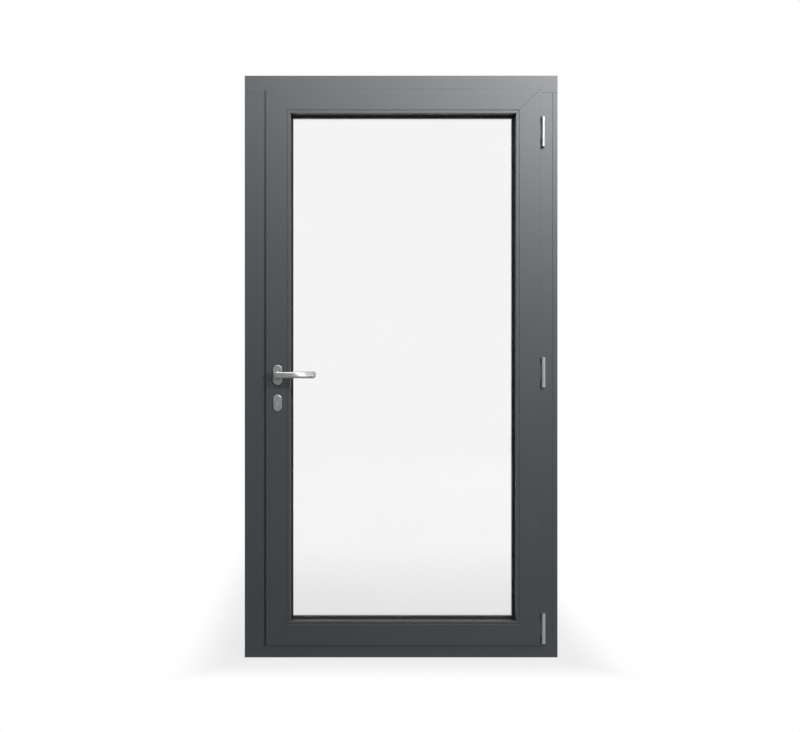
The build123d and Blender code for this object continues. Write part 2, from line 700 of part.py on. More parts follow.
with BuildPart() as sash_lock_stile_outer:
    add(outer_bars["lock_stile"])
    post(spindle_start, BACK, SPINDLE_HOLE_RADIUS, sash_through, Mode.SUBTRACT)
    add(cylinder_cut, mode=Mode.SUBTRACT)
finish(sash_lock_stile_outer, "sash_lock_stile_outer")

# Hinge stile, with the flange notched for the hinge bridges
lip_x = (sash_right - FLANGE_LIP, sash_right + OVERRUN)
with BuildPart() as sash_hinge_stile_inner:
    add(inner_bars["hinge_stile"])
    for hinge_z in hinge_places:
        notch_span = grown((hinge_z - SASH_KNUCKLE / 2, hinge_z + SASH_KNUCKLE / 2), NOTCH_GAP)
        block(lip_x, (y_flange, y_frame), notch_span, Mode.SUBTRACT)
    screw_holes(sash_hinge_screws)
finish(sash_hinge_stile_inner, "sash_hinge_stile_inner")

with BuildPart() as sash_hinge_stile_outer:
    add(outer_bars["hinge_stile"])
finish(sash_hinge_stile_outer, "sash_hinge_stile_outer")

# Rails, the inner ones bored for the drive rods
rail_bore = SASH_WALL + 2 * OVERRUN
with BuildPart() as sash_top_rail_inner:
    add(inner_bars["top_rail"])
    post((rod_x, y_lock, edge_top + OVERRUN), DOWN, ROD_TIP_RADIUS + ROD_FIT, rail_bore, Mode.SUBTRACT)
finish(sash_top_rail_inner, "sash_top_rail_inner")

with BuildPart() as sash_bottom_rail_inner:
    add(inner_bars["bottom_rail"])
    post((rod_x, y_lock, edge_bottom - OVERRUN), UP, ROD_TIP_RADIUS + ROD_FIT, rail_bore, Mode.SUBTRACT)
finish(sash_bottom_rail_inner, "sash_bottom_rail_inner")

for rail in ("top_rail", "bottom_rail"):
    with BuildPart() as sash_rail_outer:
        add(outer_bars[rail])
    finish(sash_rail_outer, f"sash_{rail}_outer")

# Polyamide strips between the sash's shells
near_break = outer_edge + SASH_BREAK_EDGE
far_break = SASH_FACE - SASH_BREAK_EDGE
near_loop = loop(near_break, near_break + BREAK_THICKNESS, y_break_in, y_break_out)
far_loop = loop(far_break - BREAK_THICKNESS, far_break, y_break_in, y_break_out)
with BuildPart() as sash_thermal_breaks:
    add(near_loop)
    add(far_loop)
finish(sash_thermal_breaks, "sash_thermal_breaks")

# Corner cleats inside the mitres
cleat_end = CLEAT_START + CLEAT_LEG
with BuildPart() as sash_corner_cleats:
    for corner_x, turn_x in ((sash_left, 1), (sash_right, -1)):
        for corner_z, turn_z in ((sash_bottom, 1), (sash_top, -1)):
            start_x = corner_x + turn_x * CLEAT_START
            wide_x = corner_x + turn_x * hollow_far
            end_x = corner_x + turn_x * cleat_end
            start_z = corner_z + turn_z * CLEAT_START
            wide_z = corner_z + turn_z * hollow_far
            end_z = corner_z + turn_z * cleat_end
            block((start_x, wide_x), hollow_y, (start_z, end_z))
            block((start_x, end_x), hollow_y, (start_z, wide_z))
finish(sash_corner_cleats, "sash_corner_cleats")

# Glazing beads
BEAD_NAMES = {"lock_stile": "lock", "hinge_stile": "hinge", "top_rail": "top", "bottom_rail": "bottom"}
for side, bead_name in BEAD_NAMES.items():
    with BuildPart() as glazing_bead:
        add(bead_bars[side])
    finish(glazing_bead, f"glazing_bead_{bead_name}")

# Glass panes
glass_x = (sash_left + glass_edge, sash_right - glass_edge)
glass_z = (sash_bottom + glass_edge, sash_top - glass_edge)
with BuildPart() as glass_inner_pane:
    block(glass_x, (y_inner_pane, y_inner_pane + PANE_THICKNESS), glass_z)
finish(glass_inner_pane, "glass_inner_pane")

with BuildPart() as glass_outer_pane:
    block(glass_x, (y_outer_pane, y_outer_pane + PANE_THICKNESS), glass_z)
finish(glass_outer_pane, "glass_outer_pane")

# Warm-edge spacer between the panes
spacer_near = glass_edge + SPACER_EDGE
spacer_loop = loop(spacer_near, spacer_near + SPACER_WIDTH, y_inner_pane + PANE_THICKNESS, y_outer_pane)
with BuildPart() as glass_spacer:
    add(spacer_loop)
finish(glass_spacer, "glass_spacer")

# Glazing gaskets on both sides of the glass unit
gasket_edge = SASH_FACE + GASKET_EDGE
inner_loop = loop(gasket_edge, bead_edge + INNER_GASKET_SHOW, y_bead, y_inner_pane)
outer_loop = loop(gasket_edge, leg_edge + OUTER_GASKET_SHOW, y_outer_pane + PANE_THICKNESS, y_leg)
with BuildPart() as glazing_gasket_inner:
    add(inner_loop)
finish(glazing_gasket_inner, "glazing_gasket_inner")

with BuildPart() as glazing_gasket_outer:
    add(outer_loop)
finish(glazing_gasket_outer, "glazing_gasket_outer")

# Setting blocks under and beside the glass unit
unit_y = (y_inner_pane, y_outer_pane + PANE_THICKNESS)
with BuildPart() as setting_blocks:
    for low in (glass_x[0] + SETTING_BLOCK_INSET, glass_x[1] - SETTING_BLOCK_INSET - SETTING_BLOCK_LENGTH):
        block((low, low + SETTING_BLOCK_LENGTH), unit_y, (glass_z[0] - GLASS_CLEARANCE, glass_z[0]))
    side_blocks = (
        ((glass_x[0] - GLASS_CLEARANCE, glass_x[0]), glass_z[1] - SETTING_BLOCK_INSET - SETTING_BLOCK_LENGTH),
        ((glass_x[1], glass_x[1] + GLASS_CLEARANCE), glass_z[0] + SETTING_BLOCK_INSET),
    )
    for side_x, low in side_blocks:
        block(side_x, unit_y, (low, low + SETTING_BLOCK_LENGTH))
finish(setting_blocks, "setting_blocks")

# Flange gasket, notched for the hinges
flange_loop = loop(
    FLANGE_GASKET_INSET, FLANGE_GASKET_INSET + FLANGE_GASKET_WIDTH, y_flange, y_frame - SEAL_GAP
)
gasket_x = (edge_right, sash_right)
with BuildPart() as sash_gasket:
    add(flange_loop)
    for hinge_z in hinge_places:
        bridge_span = grown((hinge_z - SASH_KNUCKLE / 2, hinge_z + SASH_KNUCKLE / 2), NOTCH_GAP)
        block(gasket_x, (y_face, y_flange + BRIDGE_THICKNESS), bridge_span, Mode.SUBTRACT)
        block(gasket_x, (wing_front - SEAL_GAP, y_frame), bridge_span, Mode.SUBTRACT)
finish(sash_gasket, "sash_gasket")

# Screws driven into the sash
with BuildPart() as sash_screws:
    for point, direction in sash_hinge_screws + faceplate_screws:
        screw(point, direction)
finish(sash_screws, "sash_screws")

# Lock case: a shell open at the sash edge, bored for the follower, the cylinder and the rods
case_cavity_x = (edge_left - OVERRUN, case_x[1] - CASE_WALL)
case_through = CASE_THICKNESS + 2 * OVERRUN
rod_hole = CASE_WALL + 2 * OVERRUN
with BuildPart() as lock_case:
    block(case_x, case_y, case_z)
    block(case_cavity_x, grown(case_y, -CASE_WALL), grown(case_z, -CASE_WALL), Mode.SUBTRACT)
    follower_start = (spindle_x, case_y[0] - OVERRUN, HANDLE_HEIGHT)
    post(follower_start, BACK, FOLLOWER_RADIUS + FOLLOWER_FIT, case_through, Mode.SUBTRACT)
    post((rod_x, y_lock, case_z[1] + OVERRUN), DOWN, ROD_RADIUS + ROD_FIT, rod_hole, Mode.SUBTRACT)
    post((rod_x, y_lock, case_z[0] - OVERRUN), UP, ROD_RADIUS + ROD_FIT, rod_hole, Mode.SUBTRACT)
    add(cylinder_cut, mode=Mode.SUBTRACT)
finish(lock_case, "lock_case")


def cylinder_screw_shape(fit, mode):
    """Add the cylinder's fixing screw, or cut the hole that it fits."""
    with Locations(Plane((faceplate_x, y_lock, cylinder_screw_z), z_dir=RIGHT)):
        head_radius = CYLINDER_SCREW_HEAD_RADIUS + fit
        shank_radius = CYLINDER_SCREW_RADIUS + fit
        Cone(head_radius, shank_radius, CYLINDER_SCREW_HEAD_DEPTH, align=BASE, mode=mode)
        Cylinder(shank_radius, spindle_x - faceplate_x + fit, align=BASE, mode=mode)


# Faceplate on the sash edge
with BuildPart() as lock_faceplate:
    block((faceplate_x, edge_left), faceplate_y, faceplate_span)
    for span in (latch_span, deadbolt_span):
        plate_cut = grown((faceplate_x, edge_left), OVERRUN)
        block(plate_cut, grown(bolt_y, BOLT_FIT), grown(span, BOLT_FIT), Mode.SUBTRACT)
    cylinder_screw_shape(SCREW_FIT, Mode.SUBTRACT)
    screw_holes(faceplate_screws)
finish(lock_faceplate, "lock_faceplate")

# Latch bolt: a bevelled head and a tail that hangs beside the follower's arm
latch_tip = faceplate_x - LATCH_REACH
tail_x = spindle_x + ARM_WIDTH / 2 + TAIL_GAP
latch_back = tail_x + TAIL_WIDTH
tail_bottom = HANDLE_HEIGHT + ARM_LENGTH - TAIL_GRIP
latch_outline = [
    (latch_tip, bolt_y[0]),
    (latch_back, bolt_y[0]),
    (latch_back, bolt_y[1]),
    (faceplate_x, bolt_y[1]),
    (latch_tip, bolt_y[0] + LATCH_NOSE),
]
with BuildPart() as latch_bolt:
    with BuildSketch(Plane.XY.offset(latch_span[0])):
        with BuildLine():
            Polyline(*latch_outline, close=True)
        make_face()
    extrude(amount=LATCH_HEIGHT)
    block((tail_x, latch_back), bolt_y, (tail_bottom, latch_span[0]))
finish(latch_bolt, "latch_bolt")

# Deadbolt, with a lug above the cylinder's cam
deadbolt_back = faceplate_x + DEADBOLT_LENGTH
lug_bottom = plug_z + CAM_RADIUS + CAM_FIT + OVERRUN
with BuildPart() as deadbolt:
    block((faceplate_x, deadbolt_back), bolt_y, deadbolt_span)
    block((deadbolt_back - TAIL_WIDTH, deadbolt_back), bolt_y, (lug_bottom, deadbolt_span[0]))
finish(deadbolt, "deadbolt")

# Follower: a hub in the case walls with an arm that draws the latch
half_socket = SPINDLE_SIZE / 2 + SPINDLE_FIT
socket_x = (spindle_x - half_socket, spindle_x + half_socket)
socket_z = (HANDLE_HEIGHT - half_socket, HANDLE_HEIGHT + half_socket)
with BuildPart() as lock_follower:
    post((spindle_x, case_y[0], HANDLE_HEIGHT), BACK, FOLLOWER_RADIUS, CASE_THICKNESS)
    arm_x = (spindle_x - ARM_WIDTH / 2, spindle_x + ARM_WIDTH / 2)
    block(arm_x, bolt_y, (HANDLE_HEIGHT, HANDLE_HEIGHT + ARM_LENGTH))
    block(socket_x, grown(case_y, OVERRUN), socket_z, Mode.SUBTRACT)
finish(lock_follower, "lock_follower")

# Square spindle through both levers
spindle_span_x = grown((spindle_x, spindle_x), SPINDLE_SIZE / 2)
spindle_span_y = (-SPINDLE_LENGTH / 2, SPINDLE_LENGTH / 2)
spindle_span_z = grown((HANDLE_HEIGHT, HANDLE_HEIGHT), SPINDLE_SIZE / 2)
with BuildPart() as spindle:
    block(spindle_span_x, spindle_span_y, spindle_span_z)
finish(spindle, "spindle")

# Drive rods from the lock case to the sash's top and bottom edges
upper_rod_start = case_z[1] - ROD_ENTRY
lower_rod_start = case_z[0] + ROD_ENTRY
with BuildPart() as drive_rod_upper:
    post((rod_x, y_lock, upper_rod_start), UP, ROD_RADIUS, edge_top - upper_rod_start)
    post((rod_x, y_lock, edge_top), DOWN, ROD_TIP_RADIUS, ROD_TIP_LENGTH)
finish(drive_rod_upper, "drive_rod_upper")

with BuildPart() as drive_rod_lower:
    post((rod_x, y_lock, lower_rod_start), DOWN, ROD_RADIUS, lower_rod_start - edge_bottom)
    post((rod_x, y_lock, edge_bottom), UP, ROD_TIP_RADIUS, ROD_TIP_LENGTH)
finish(drive_rod_lower, "drive_rod_lower")

# Profile cylinder body, bored for the plugs and slotted for the cam
cylinder_y = (-CYLINDER_LENGTH / 2, CYLINDER_LENGTH / 2)
cam_y = (y_lock - CAM_WIDTH / 2, y_lock + CAM_WIDTH / 2)
cylinder_bar = cylinder_profile(0, *cylinder_y)
with BuildPart() as cylinder_body:
    add(cylinder_bar)
    bore_start = (spindle_x, cylinder_y[0] - OVERRUN, plug_z)
    post(bore_start, BACK, PLUG_RADIUS + PLUG_FIT, CYLINDER_LENGTH + 2 * OVERRUN, Mode.SUBTRACT)
    slot_start = (spindle_x, cam_y[0] - CAM_SIDE_FIT, plug_z)
    post(slot_start, BACK, CAM_RADIUS + CAM_FIT, CAM_WIDTH + 2 * CAM_SIDE_FIT, Mode.SUBTRACT)
    cylinder_screw_shape(SCREW_FIT, Mode.SUBTRACT)
finish(cylinder_body, "cylinder_body")

with BuildPart() as cylinder_screw:
    cylinder_screw_shape(0, Mode.ADD)
finish(cylinder_screw, "cylinder_screw")


def plug(outer_end, inner_end):
    """A round plug from an open end to the cam, with its keyway in the open end."""
    inward = 1 if inner_end > outer_end else -1
    keyway_x = (spindle_x - KEYWAY_WIDTH / 2, spindle_x + KEYWAY_WIDTH / 2)
    keyway_y = (outer_end - inward * OVERRUN, outer_end + inward * KEYWAY_DEPTH)
    keyway_z = (plug_z - KEYWAY_HEIGHT / 2, plug_z + KEYWAY_HEIGHT / 2)
    with BuildPart() as barrel:
        post((spindle_x, outer_end, plug_z), (0, inward, 0), PLUG_RADIUS, abs(inner_end - outer_end))
        block(keyway_x, keyway_y, keyway_z, Mode.SUBTRACT)
    return barrel


# Cylinder plugs and the cam between them
cylinder_plug_inside = plug(cylinder_y[0], cam_y[0])
finish(cylinder_plug_inside, "cylinder_plug_inside")
cylinder_plug_outside = plug(cylinder_y[1], cam_y[1] + CAM_SIDE_FIT)
finish(cylinder_plug_outside, "cylinder_plug_outside")

with BuildPart() as cylinder_cam:
    with BuildSketch(Plane((spindle_x, cam_y[0], plug_z), x_dir=RIGHT, z_dir=BACK)):
        Circle(CAM_RADIUS)
        with Locations((0, CAM_RADIUS / 2)):
            Rectangle(CAM_THICKNESS, CAM_RADIUS, mode=Mode.INTERSECT)
        Circle(PLUG_RADIUS)
    extrude(amount=CAM_WIDTH)
finish(cylinder_cam, "cylinder_cam")


def cover(side, centre_z, width, height, thickness):
    """A round-ended cover on the sash face, with a rounded outer edge."""
    with BuildPart() as plate:
        with BuildSketch(Plane((spindle_x, side * y_outside, centre_z), x_dir=RIGHT, z_dir=(0, side, 0))):
            SlotOverall(height, width, rotation=90)
        extrude(amount=thickness)
        outer_rim = plate.faces().sort_by(Axis((0, 0, 0), (0, side, 0)))[-1].edges()
        fillet(outer_rim, EDGE_ROUND)
    return plate.part


def lever(side):
    """A bent oval lever with a round collar and a square socket for the spindle."""
    outward = (0, side, 0)
    root = side * (y_outside + ROSETTE_THICKNESS + LEVER_GAP)
    collar_end = root + side * COLLAR_DEPTH
    grip_y = side * (y_outside + LEVER_PROJECTION - GRIP_THICKNESS / 2)
    neck_point = (spindle_x, collar_end, HANDLE_HEIGHT)
    bend_point = (spindle_x, grip_y, HANDLE_HEIGHT)
    tip_point = (spindle_x + LEVER_REACH, grip_y, HANDLE_HEIGHT)
    with BuildPart() as handle:
        with BuildLine():
            FilletPolyline(neck_point, bend_point, tip_point, radius=LEVER_BEND)
        with BuildSketch(Plane(neck_point, x_dir=RIGHT, z_dir=outward)):
            Ellipse(GRIP_THICKNESS / 2, GRIP_HEIGHT / 2)
        sweep()
        fillet(handle.edges().sort_by(Axis.X)[-1], TIP_ROUND)
        post((spindle_x, root, HANDLE_HEIGHT), outward, COLLAR_RADIUS, COLLAR_DEPTH)
        block(socket_x, (root - side * OVERRUN, side * SPINDLE_LENGTH / 2), socket_z, Mode.SUBTRACT)
    return handle


# Levers, rosettes and escutcheons on both faces
escutcheon_z = HANDLE_HEIGHT - ESCUTCHEON_DROP
for side, face in ((-1, "inside"), (1, "outside")):
    finish(lever(side), f"lever_{face}")
    rosette_blank = cover(side, HANDLE_HEIGHT, ROSETTE_WIDTH, ROSETTE_HEIGHT, ROSETTE_THICKNESS)
    escutcheon_blank = cover(side, escutcheon_z, ESCUTCHEON_WIDTH, ESCUTCHEON_HEIGHT, ESCUTCHEON_THICKNESS)
    cover_ends = sorted((side * (y_outside - OVERRUN), side * (y_outside + ROSETTE_THICKNESS + OVERRUN)))
    cover_cut = cylinder_profile(CYLINDER_FIT, *cover_ends)
    with BuildPart() as rosette:
        add(rosette_blank)
        hole_start = (spindle_x, cover_ends[0], HANDLE_HEIGHT)
        post(hole_start, BACK, SPINDLE_HOLE_RADIUS, cover_ends[1] - cover_ends[0], Mode.SUBTRACT)
    finish(rosette, f"rosette_{face}")
    with BuildPart() as escutcheon:
        add(escutcheon_blank)
        add(cover_cut, mode=Mode.SUBTRACT)
    finish(escutcheon, f"escutcheon_{face}")
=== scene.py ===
"""Looks of a glazed patio door with its frame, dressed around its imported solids."""

import json
import logging
import math
from dataclasses import dataclass
from enum import Enum

import bmesh
import bpy
from mathutils import Matrix, Vector

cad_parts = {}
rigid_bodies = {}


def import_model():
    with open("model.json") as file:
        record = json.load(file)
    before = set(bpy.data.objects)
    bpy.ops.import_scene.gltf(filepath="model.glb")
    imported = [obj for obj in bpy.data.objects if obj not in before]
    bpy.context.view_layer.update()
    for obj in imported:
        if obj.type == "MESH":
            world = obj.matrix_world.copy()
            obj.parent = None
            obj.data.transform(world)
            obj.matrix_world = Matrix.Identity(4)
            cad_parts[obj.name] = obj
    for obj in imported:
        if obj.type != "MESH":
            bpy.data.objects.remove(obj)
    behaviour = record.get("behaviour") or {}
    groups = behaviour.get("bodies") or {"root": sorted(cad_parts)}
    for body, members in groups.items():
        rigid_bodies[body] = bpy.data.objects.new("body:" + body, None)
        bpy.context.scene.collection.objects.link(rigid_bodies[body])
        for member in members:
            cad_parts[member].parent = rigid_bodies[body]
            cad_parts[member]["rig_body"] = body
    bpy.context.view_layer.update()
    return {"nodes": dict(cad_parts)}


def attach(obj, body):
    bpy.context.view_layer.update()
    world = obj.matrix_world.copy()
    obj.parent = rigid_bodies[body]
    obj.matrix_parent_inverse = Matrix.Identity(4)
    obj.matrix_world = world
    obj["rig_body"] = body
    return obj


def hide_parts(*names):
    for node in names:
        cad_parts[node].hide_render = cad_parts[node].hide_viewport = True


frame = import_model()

LOG = logging.getLogger("patio_door")

Colour = tuple[float, float, float, float]
Point = tuple[float, float, float]
Pair = tuple[float, float]
Sockets = tuple[tuple[str, str], ...]
Station = tuple[Vector, Vector, Vector, float]
Places = list[tuple[Vector, Vector]]

# Numbers of the shader effects that the finishes share.
MOTTLE_DETAIL = 3.0
GRAIN_DETAIL = 2.0
MOTTLE_SHARE = 0.7
MIDDLE_TONE = 0.5
RUB_SCALE = 40.0
RUB_DETAIL = 4.0
RUB_PALENESS = 3.0


class Slot(str, Enum):
    """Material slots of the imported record."""

    PROFILE = "anthracite_profile"
    POLYAMIDE = "polyamide"
    RUBBER = "black_epdm"
    GLASS = "clear_glass"
    SPACER = "warm_edge_spacer"
    BLOCK = "setting_block"
    ALUMINIUM = "mill_aluminium"
    HINGE = "silver_hinge"
    HANDLE = "satin_handle"
    CYLINDER = "cylinder_brass"
    STEEL = "lock_steel"


class Edge(Enum):
    """Width of the softened edge of a piece, in metres."""

    JOINT = 0.0006
    CRISP = 0.0003
    EXTRUDED = 0.0010
    BEAD = 0.0014
    RUBBER = 0.0012


def srgb(red: int, green: int, blue: int) -> Colour:
    """Turns a colour as seen on a screen into a linear one.

    Args:
        red: Red from 0 to 255.
        green: Green from 0 to 255.
        blue: Blue from 0 to 255.

    Returns:
        The linear colour with full alpha.
    """
    shares = [channel / 255 for channel in (red, green, blue)]
    linear = [s / 12.92 if s <= 0.04045 else ((s + 0.055) / 1.055) ** 2.4 for s in shares]
    return (linear[0], linear[1], linear[2], 1.0)


class NodeSheet:
    """A node tree that is filled by named calls."""

    MIX_LOW = 6
    MIX_HIGH = 7
    MIX_RESULT = 2

    def __init__(self, tree: bpy.types.NodeTree) -> None:
        """Keeps the tree to fill."""
        self.tree = tree

    def add(self, kind: str, **settings: object) -> bpy.types.Node:
        """Adds one node.

        Args:
            kind: Blender's name of the node type.
            settings: Properties of the node, by name.

        Returns:
            The new node.
        """
        node = self.tree.nodes.new(kind)
        for key, value in settings.items():
            setattr(node, key, value)
        return node

    def link(self, source: bpy.types.NodeSocket, target: bpy.types.NodeSocket) -> None:
        """Joins an output to an input."""
        self.tree.links.new(source, target)

    def math(self, operation: str, first: object, second: object) -> bpy.types.NodeSocket:
        """Adds a math node.

        Args:
            operation: Name of the operation.
            first: A socket or a number.
            second: A socket or a number.

        Returns:
            The socket that holds the result.
        """
        node = self.add("ShaderNodeMath", operation=operation)
        for place, value in enumerate((first, second)):
            if isinstance(value, bpy.types.NodeSocket):
                self.link(value, node.inputs[place])
            else:
                node.inputs[place].default_value = value
        return node.outputs[0]

    def mix(self, factor: bpy.types.NodeSocket, low: object, high: object) -> bpy.types.NodeSocket:
        """Adds a colour mix.

        Args:
            factor: Socket of the share of the second colour.
            low: First colour, or its socket.
            high: Second colour, or its socket.

        Returns:
            The socket of the mixed colour.
        """
        node = self.add("ShaderNodeMix", data_type="RGBA")
        self.link(factor, node.inputs[0])
        for place, value in ((self.MIX_LOW, low), (self.MIX_HIGH, high)):
            if isinstance(value, bpy.types.NodeSocket):
                self.link(value, node.inputs[place])
            else:
                node.inputs[place].default_value = value
        return node.outputs[self.MIX_RESULT]

    def noise(self, vector: bpy.types.NodeSocket, scale: object, detail: float) -> bpy.types.NodeSocket:
        """Adds a noise texture.

        Args:
            vector: Socket of the place on the piece.
            scale: Number or socket of the features per metre.
            detail: Number of finer octaves.

        Returns:
            The socket of the noise value.
        """
        node = self.add("ShaderNodeTexNoise")
        node.inputs["Detail"].default_value = detail
        self.link(vector, node.inputs["Vector"])
        if isinstance(scale, bpy.types.NodeSocket):
            self.link(scale, node.inputs["Scale"])
        else:
            node.inputs["Scale"].default_value = scale
        return node.outputs[0]

    def ways(self, coordinate: str) -> bpy.types.NodeOutputs:
        """Adds a texture coordinate and gives its X, Y and Z."""
        node = self.add("ShaderNodeSeparateXYZ")
        self.link(self.add("ShaderNodeTexCoord").outputs[coordinate], node.inputs[0])
        return node.outputs

    def fade(
        self, value: bpy.types.NodeSocket, reach: Pair, results: Pair = (0.0, 1.0), smooth: bool = True
    ) -> bpy.types.NodeSocket:
        """Adds a fade over a range of values.

        Args:
            value: Socket of the value that drives the fade.
            reach: Values at which the fade starts and ends.
            results: Results at its start and its end.
            smooth: Whether the fade eases in and out.

        Returns:
            The socket of the result.
        """
        node = self.add("ShaderNodeMapRange", interpolation_type="SMOOTHSTEP" if smooth else "LINEAR")
        names = ("From Min", "From Max", "To Min", "To Max")
        for name, number in zip(names, (*reach, *results)):
            node.inputs[name].default_value = number
        self.link(value, node.inputs["Value"])
        return node.outputs[0]

    def rays(self) -> tuple[bpy.types.NodeSocket, bpy.types.NodeSocket]:
        """Adds the light path and gives its direct rays, also through glass, and its mirrored rays."""
        path = self.add("ShaderNodeLightPath").outputs
        seen = self.math("MAXIMUM", path["Is Camera Ray"], path["Is Transmission Ray"])
        return seen, path["Is Glossy Ray"]


class EffectGroup(Enum):
    """Shader effects that several finishes share."""

    GRAIN = "surface_grain"
    EDGE_RUB = "edge_rub"

    def tree(self) -> bpy.types.NodeTree:
        """Gives the group's tree, which is built on its first use."""
        found = bpy.data.node_groups.get(self.value)
        if found is not None:
            return found
        if self is EffectGroup.GRAIN:
            return self.build_grain()
        return self.build_edge_rub()

    def blank(self, inputs: Sockets, outputs: Sockets) -> bpy.types.NodeTree:
        """Makes an empty group with its sockets.

        Args:
            inputs: Name and type of each input.
            outputs: Name and type of each output.

        Returns:
            The tree with its group input and output nodes.
        """
        tree = bpy.data.node_groups.new(self.value, "ShaderNodeTree")
        for name, kind in inputs:
            tree.interface.new_socket(name, in_out="INPUT", socket_type=kind)
        for name, kind in outputs:
            tree.interface.new_socket(name, in_out="OUTPUT", socket_type=kind)
        tree.nodes.new("NodeGroupInput")
        tree.nodes.new("NodeGroupOutput")
        return tree

    def build_grain(self) -> bpy.types.NodeTree:
        """Builds the broad tone and fine grain of a surface."""
        inputs = (
            ("Place", "NodeSocketVector"),
            ("Tint", "NodeSocketColor"),
            ("Shade", "NodeSocketColor"),
            ("Mottle Scale", "NodeSocketFloat"),
            ("Grain Scale", "NodeSocketFloat"),
            ("Roughness", "NodeSocketFloat"),
            ("Spread", "NodeSocketFloat"),
        )
        outputs = (
            ("Color", "NodeSocketColor"),
            ("Roughness", "NodeSocketFloat"),
            ("Height", "NodeSocketFloat"),
        )
        tree = self.blank(inputs, outputs)
        sheet = NodeSheet(tree)
        given = tree.nodes["Group Input"].outputs
        made = tree.nodes["Group Output"].inputs
        mottle = sheet.noise(given["Place"], given["Mottle Scale"], MOTTLE_DETAIL)
        grain = sheet.noise(given["Place"], given["Grain Scale"], GRAIN_DETAIL)
        broad = sheet.math("MULTIPLY", mottle, MOTTLE_SHARE)
        fine = sheet.math("MULTIPLY", grain, 1 - MOTTLE_SHARE)
        tone = sheet.math("ADD", broad, fine)
        sheet.link(sheet.mix(tone, given["Shade"], given["Tint"]), made["Color"])
        swing = sheet.math("MULTIPLY", sheet.math("SUBTRACT", tone, MIDDLE_TONE), given["Spread"])
        sheet.link(sheet.math("ADD", given["Roughness"], swing), made["Roughness"])
        sheet.link(grain, made["Height"])
        return tree

    def build_edge_rub(self) -> bpy.types.NodeTree:
        """Builds the paler tone along handled and rubbed edges."""
        inputs = (
            ("Place", "NodeSocketVector"),
            ("Color", "NodeSocketColor"),
            ("Rubbed", "NodeSocketColor"),
            ("Edge", "NodeSocketFloat"),
            ("Amount", "NodeSocketFloat"),
        )
        tree = self.blank(inputs, (("Color", "NodeSocketColor"),))
        sheet = NodeSheet(tree)
        given = tree.nodes["Group Input"].outputs
        made = tree.nodes["Group Output"].inputs
        broken = sheet.noise(given["Place"], RUB_SCALE, RUB_DETAIL)
        share = sheet.math("MULTIPLY", sheet.math("MULTIPLY", given["Edge"], given["Amount"]), broken)
        sheet.link(sheet.mix(share, given["Color"], given["Rubbed"]), made["Color"])
        return tree


@dataclass(frozen=True)
class Finish:
    """A surface finish that becomes one material."""

    name: str
    slot: Slot
    tint: Colour
    shade: Colour
    roughness: float
    spread: float
    mottle: float
    grain: float
    relief: float
    metallic: float = 0.0
    specular: float = 0.5
    rub: float = 0.0
    stretch: Point = (1.0, 1.0, 1.0)
    transmission: float = 0.0

    def material(self) -> bpy.types.Material:
        """Gives the finish's material, which is built on its first use."""
        found = bpy.data.materials.get(self.name)
        return found if found is not None else self.build()

    def build(self) -> bpy.types.Material:
        """Builds the material's nodes.

        Returns:
            The new material.
        """
        material = bpy.data.materials.new(self.name)
        material.use_nodes = True
        sheet = NodeSheet(material.node_tree)
        shader = material.node_tree.nodes["Principled BSDF"].inputs
        place = sheet.add("ShaderNodeTexCoord").outputs["Object"]
        mapping = sheet.add("ShaderNodeMapping")
        mapping.inputs["Scale"].default_value = self.stretch
        sheet.link(place, mapping.inputs["Vector"])
        grain = sheet.add("ShaderNodeGroup", node_tree=EffectGroup.GRAIN.tree())
        sheet.link(mapping.outputs[0], grain.inputs["Place"])
        grain.inputs["Tint"].default_value = self.tint
        grain.inputs["Shade"].default_value = self.shade
        grain.inputs["Mottle Scale"].default_value = self.mottle
        grain.inputs["Grain Scale"].default_value = self.grain
        grain.inputs["Roughness"].default_value = self.roughness
        grain.inputs["Spread"].default_value = self.spread
        colour = grain.outputs["Color"]
        if self.rub > 0:
            colour = self.rubbed(sheet, place, colour)
        sheet.link(colour, shader["Base Color"])
        sheet.link(grain.outputs["Roughness"], shader["Roughness"])
        bump = sheet.add("ShaderNodeBump")
        bump.inputs["Strength"].default_value = 1.0
        bump.inputs["Distance"].default_value = self.relief
        sheet.link(grain.outputs["Height"], bump.inputs["Height"])
        sheet.link(bump.outputs[0], shader["Normal"])
        shader["Metallic"].default_value = self.metallic
        shader["Specular IOR Level"].default_value = self.specular
        shader["Transmission Weight"].default_value = self.transmission
        return material

    def rubbed(
        self, sheet: NodeSheet, place: bpy.types.NodeSocket, colour: bpy.types.NodeSocket
    ) -> bpy.types.NodeSocket:
        """Pales the colour along the piece's softened edges.

        Args:
            sheet: The material's nodes.
            place: Socket of the place on the piece.
            colour: Socket of the plain colour.

        Returns:
            The socket of the rubbed colour.
        """
        group = sheet.add("ShaderNodeGroup", node_tree=EffectGroup.EDGE_RUB.tree())
        edge = sheet.add("ShaderNodeAttribute", attribute_name="edge")
        pale = tuple(min(1.0, channel * RUB_PALENESS) for channel in self.tint[:3])
        sheet.link(place, group.inputs["Place"])
        sheet.link(colour, group.inputs["Color"])
        sheet.link(edge.outputs["Fac"], group.inputs["Edge"])
        group.inputs["Rubbed"].default_value = (*pale, 1.0)
        group.inputs["Amount"].default_value = self.rub
        return group.outputs["Color"]


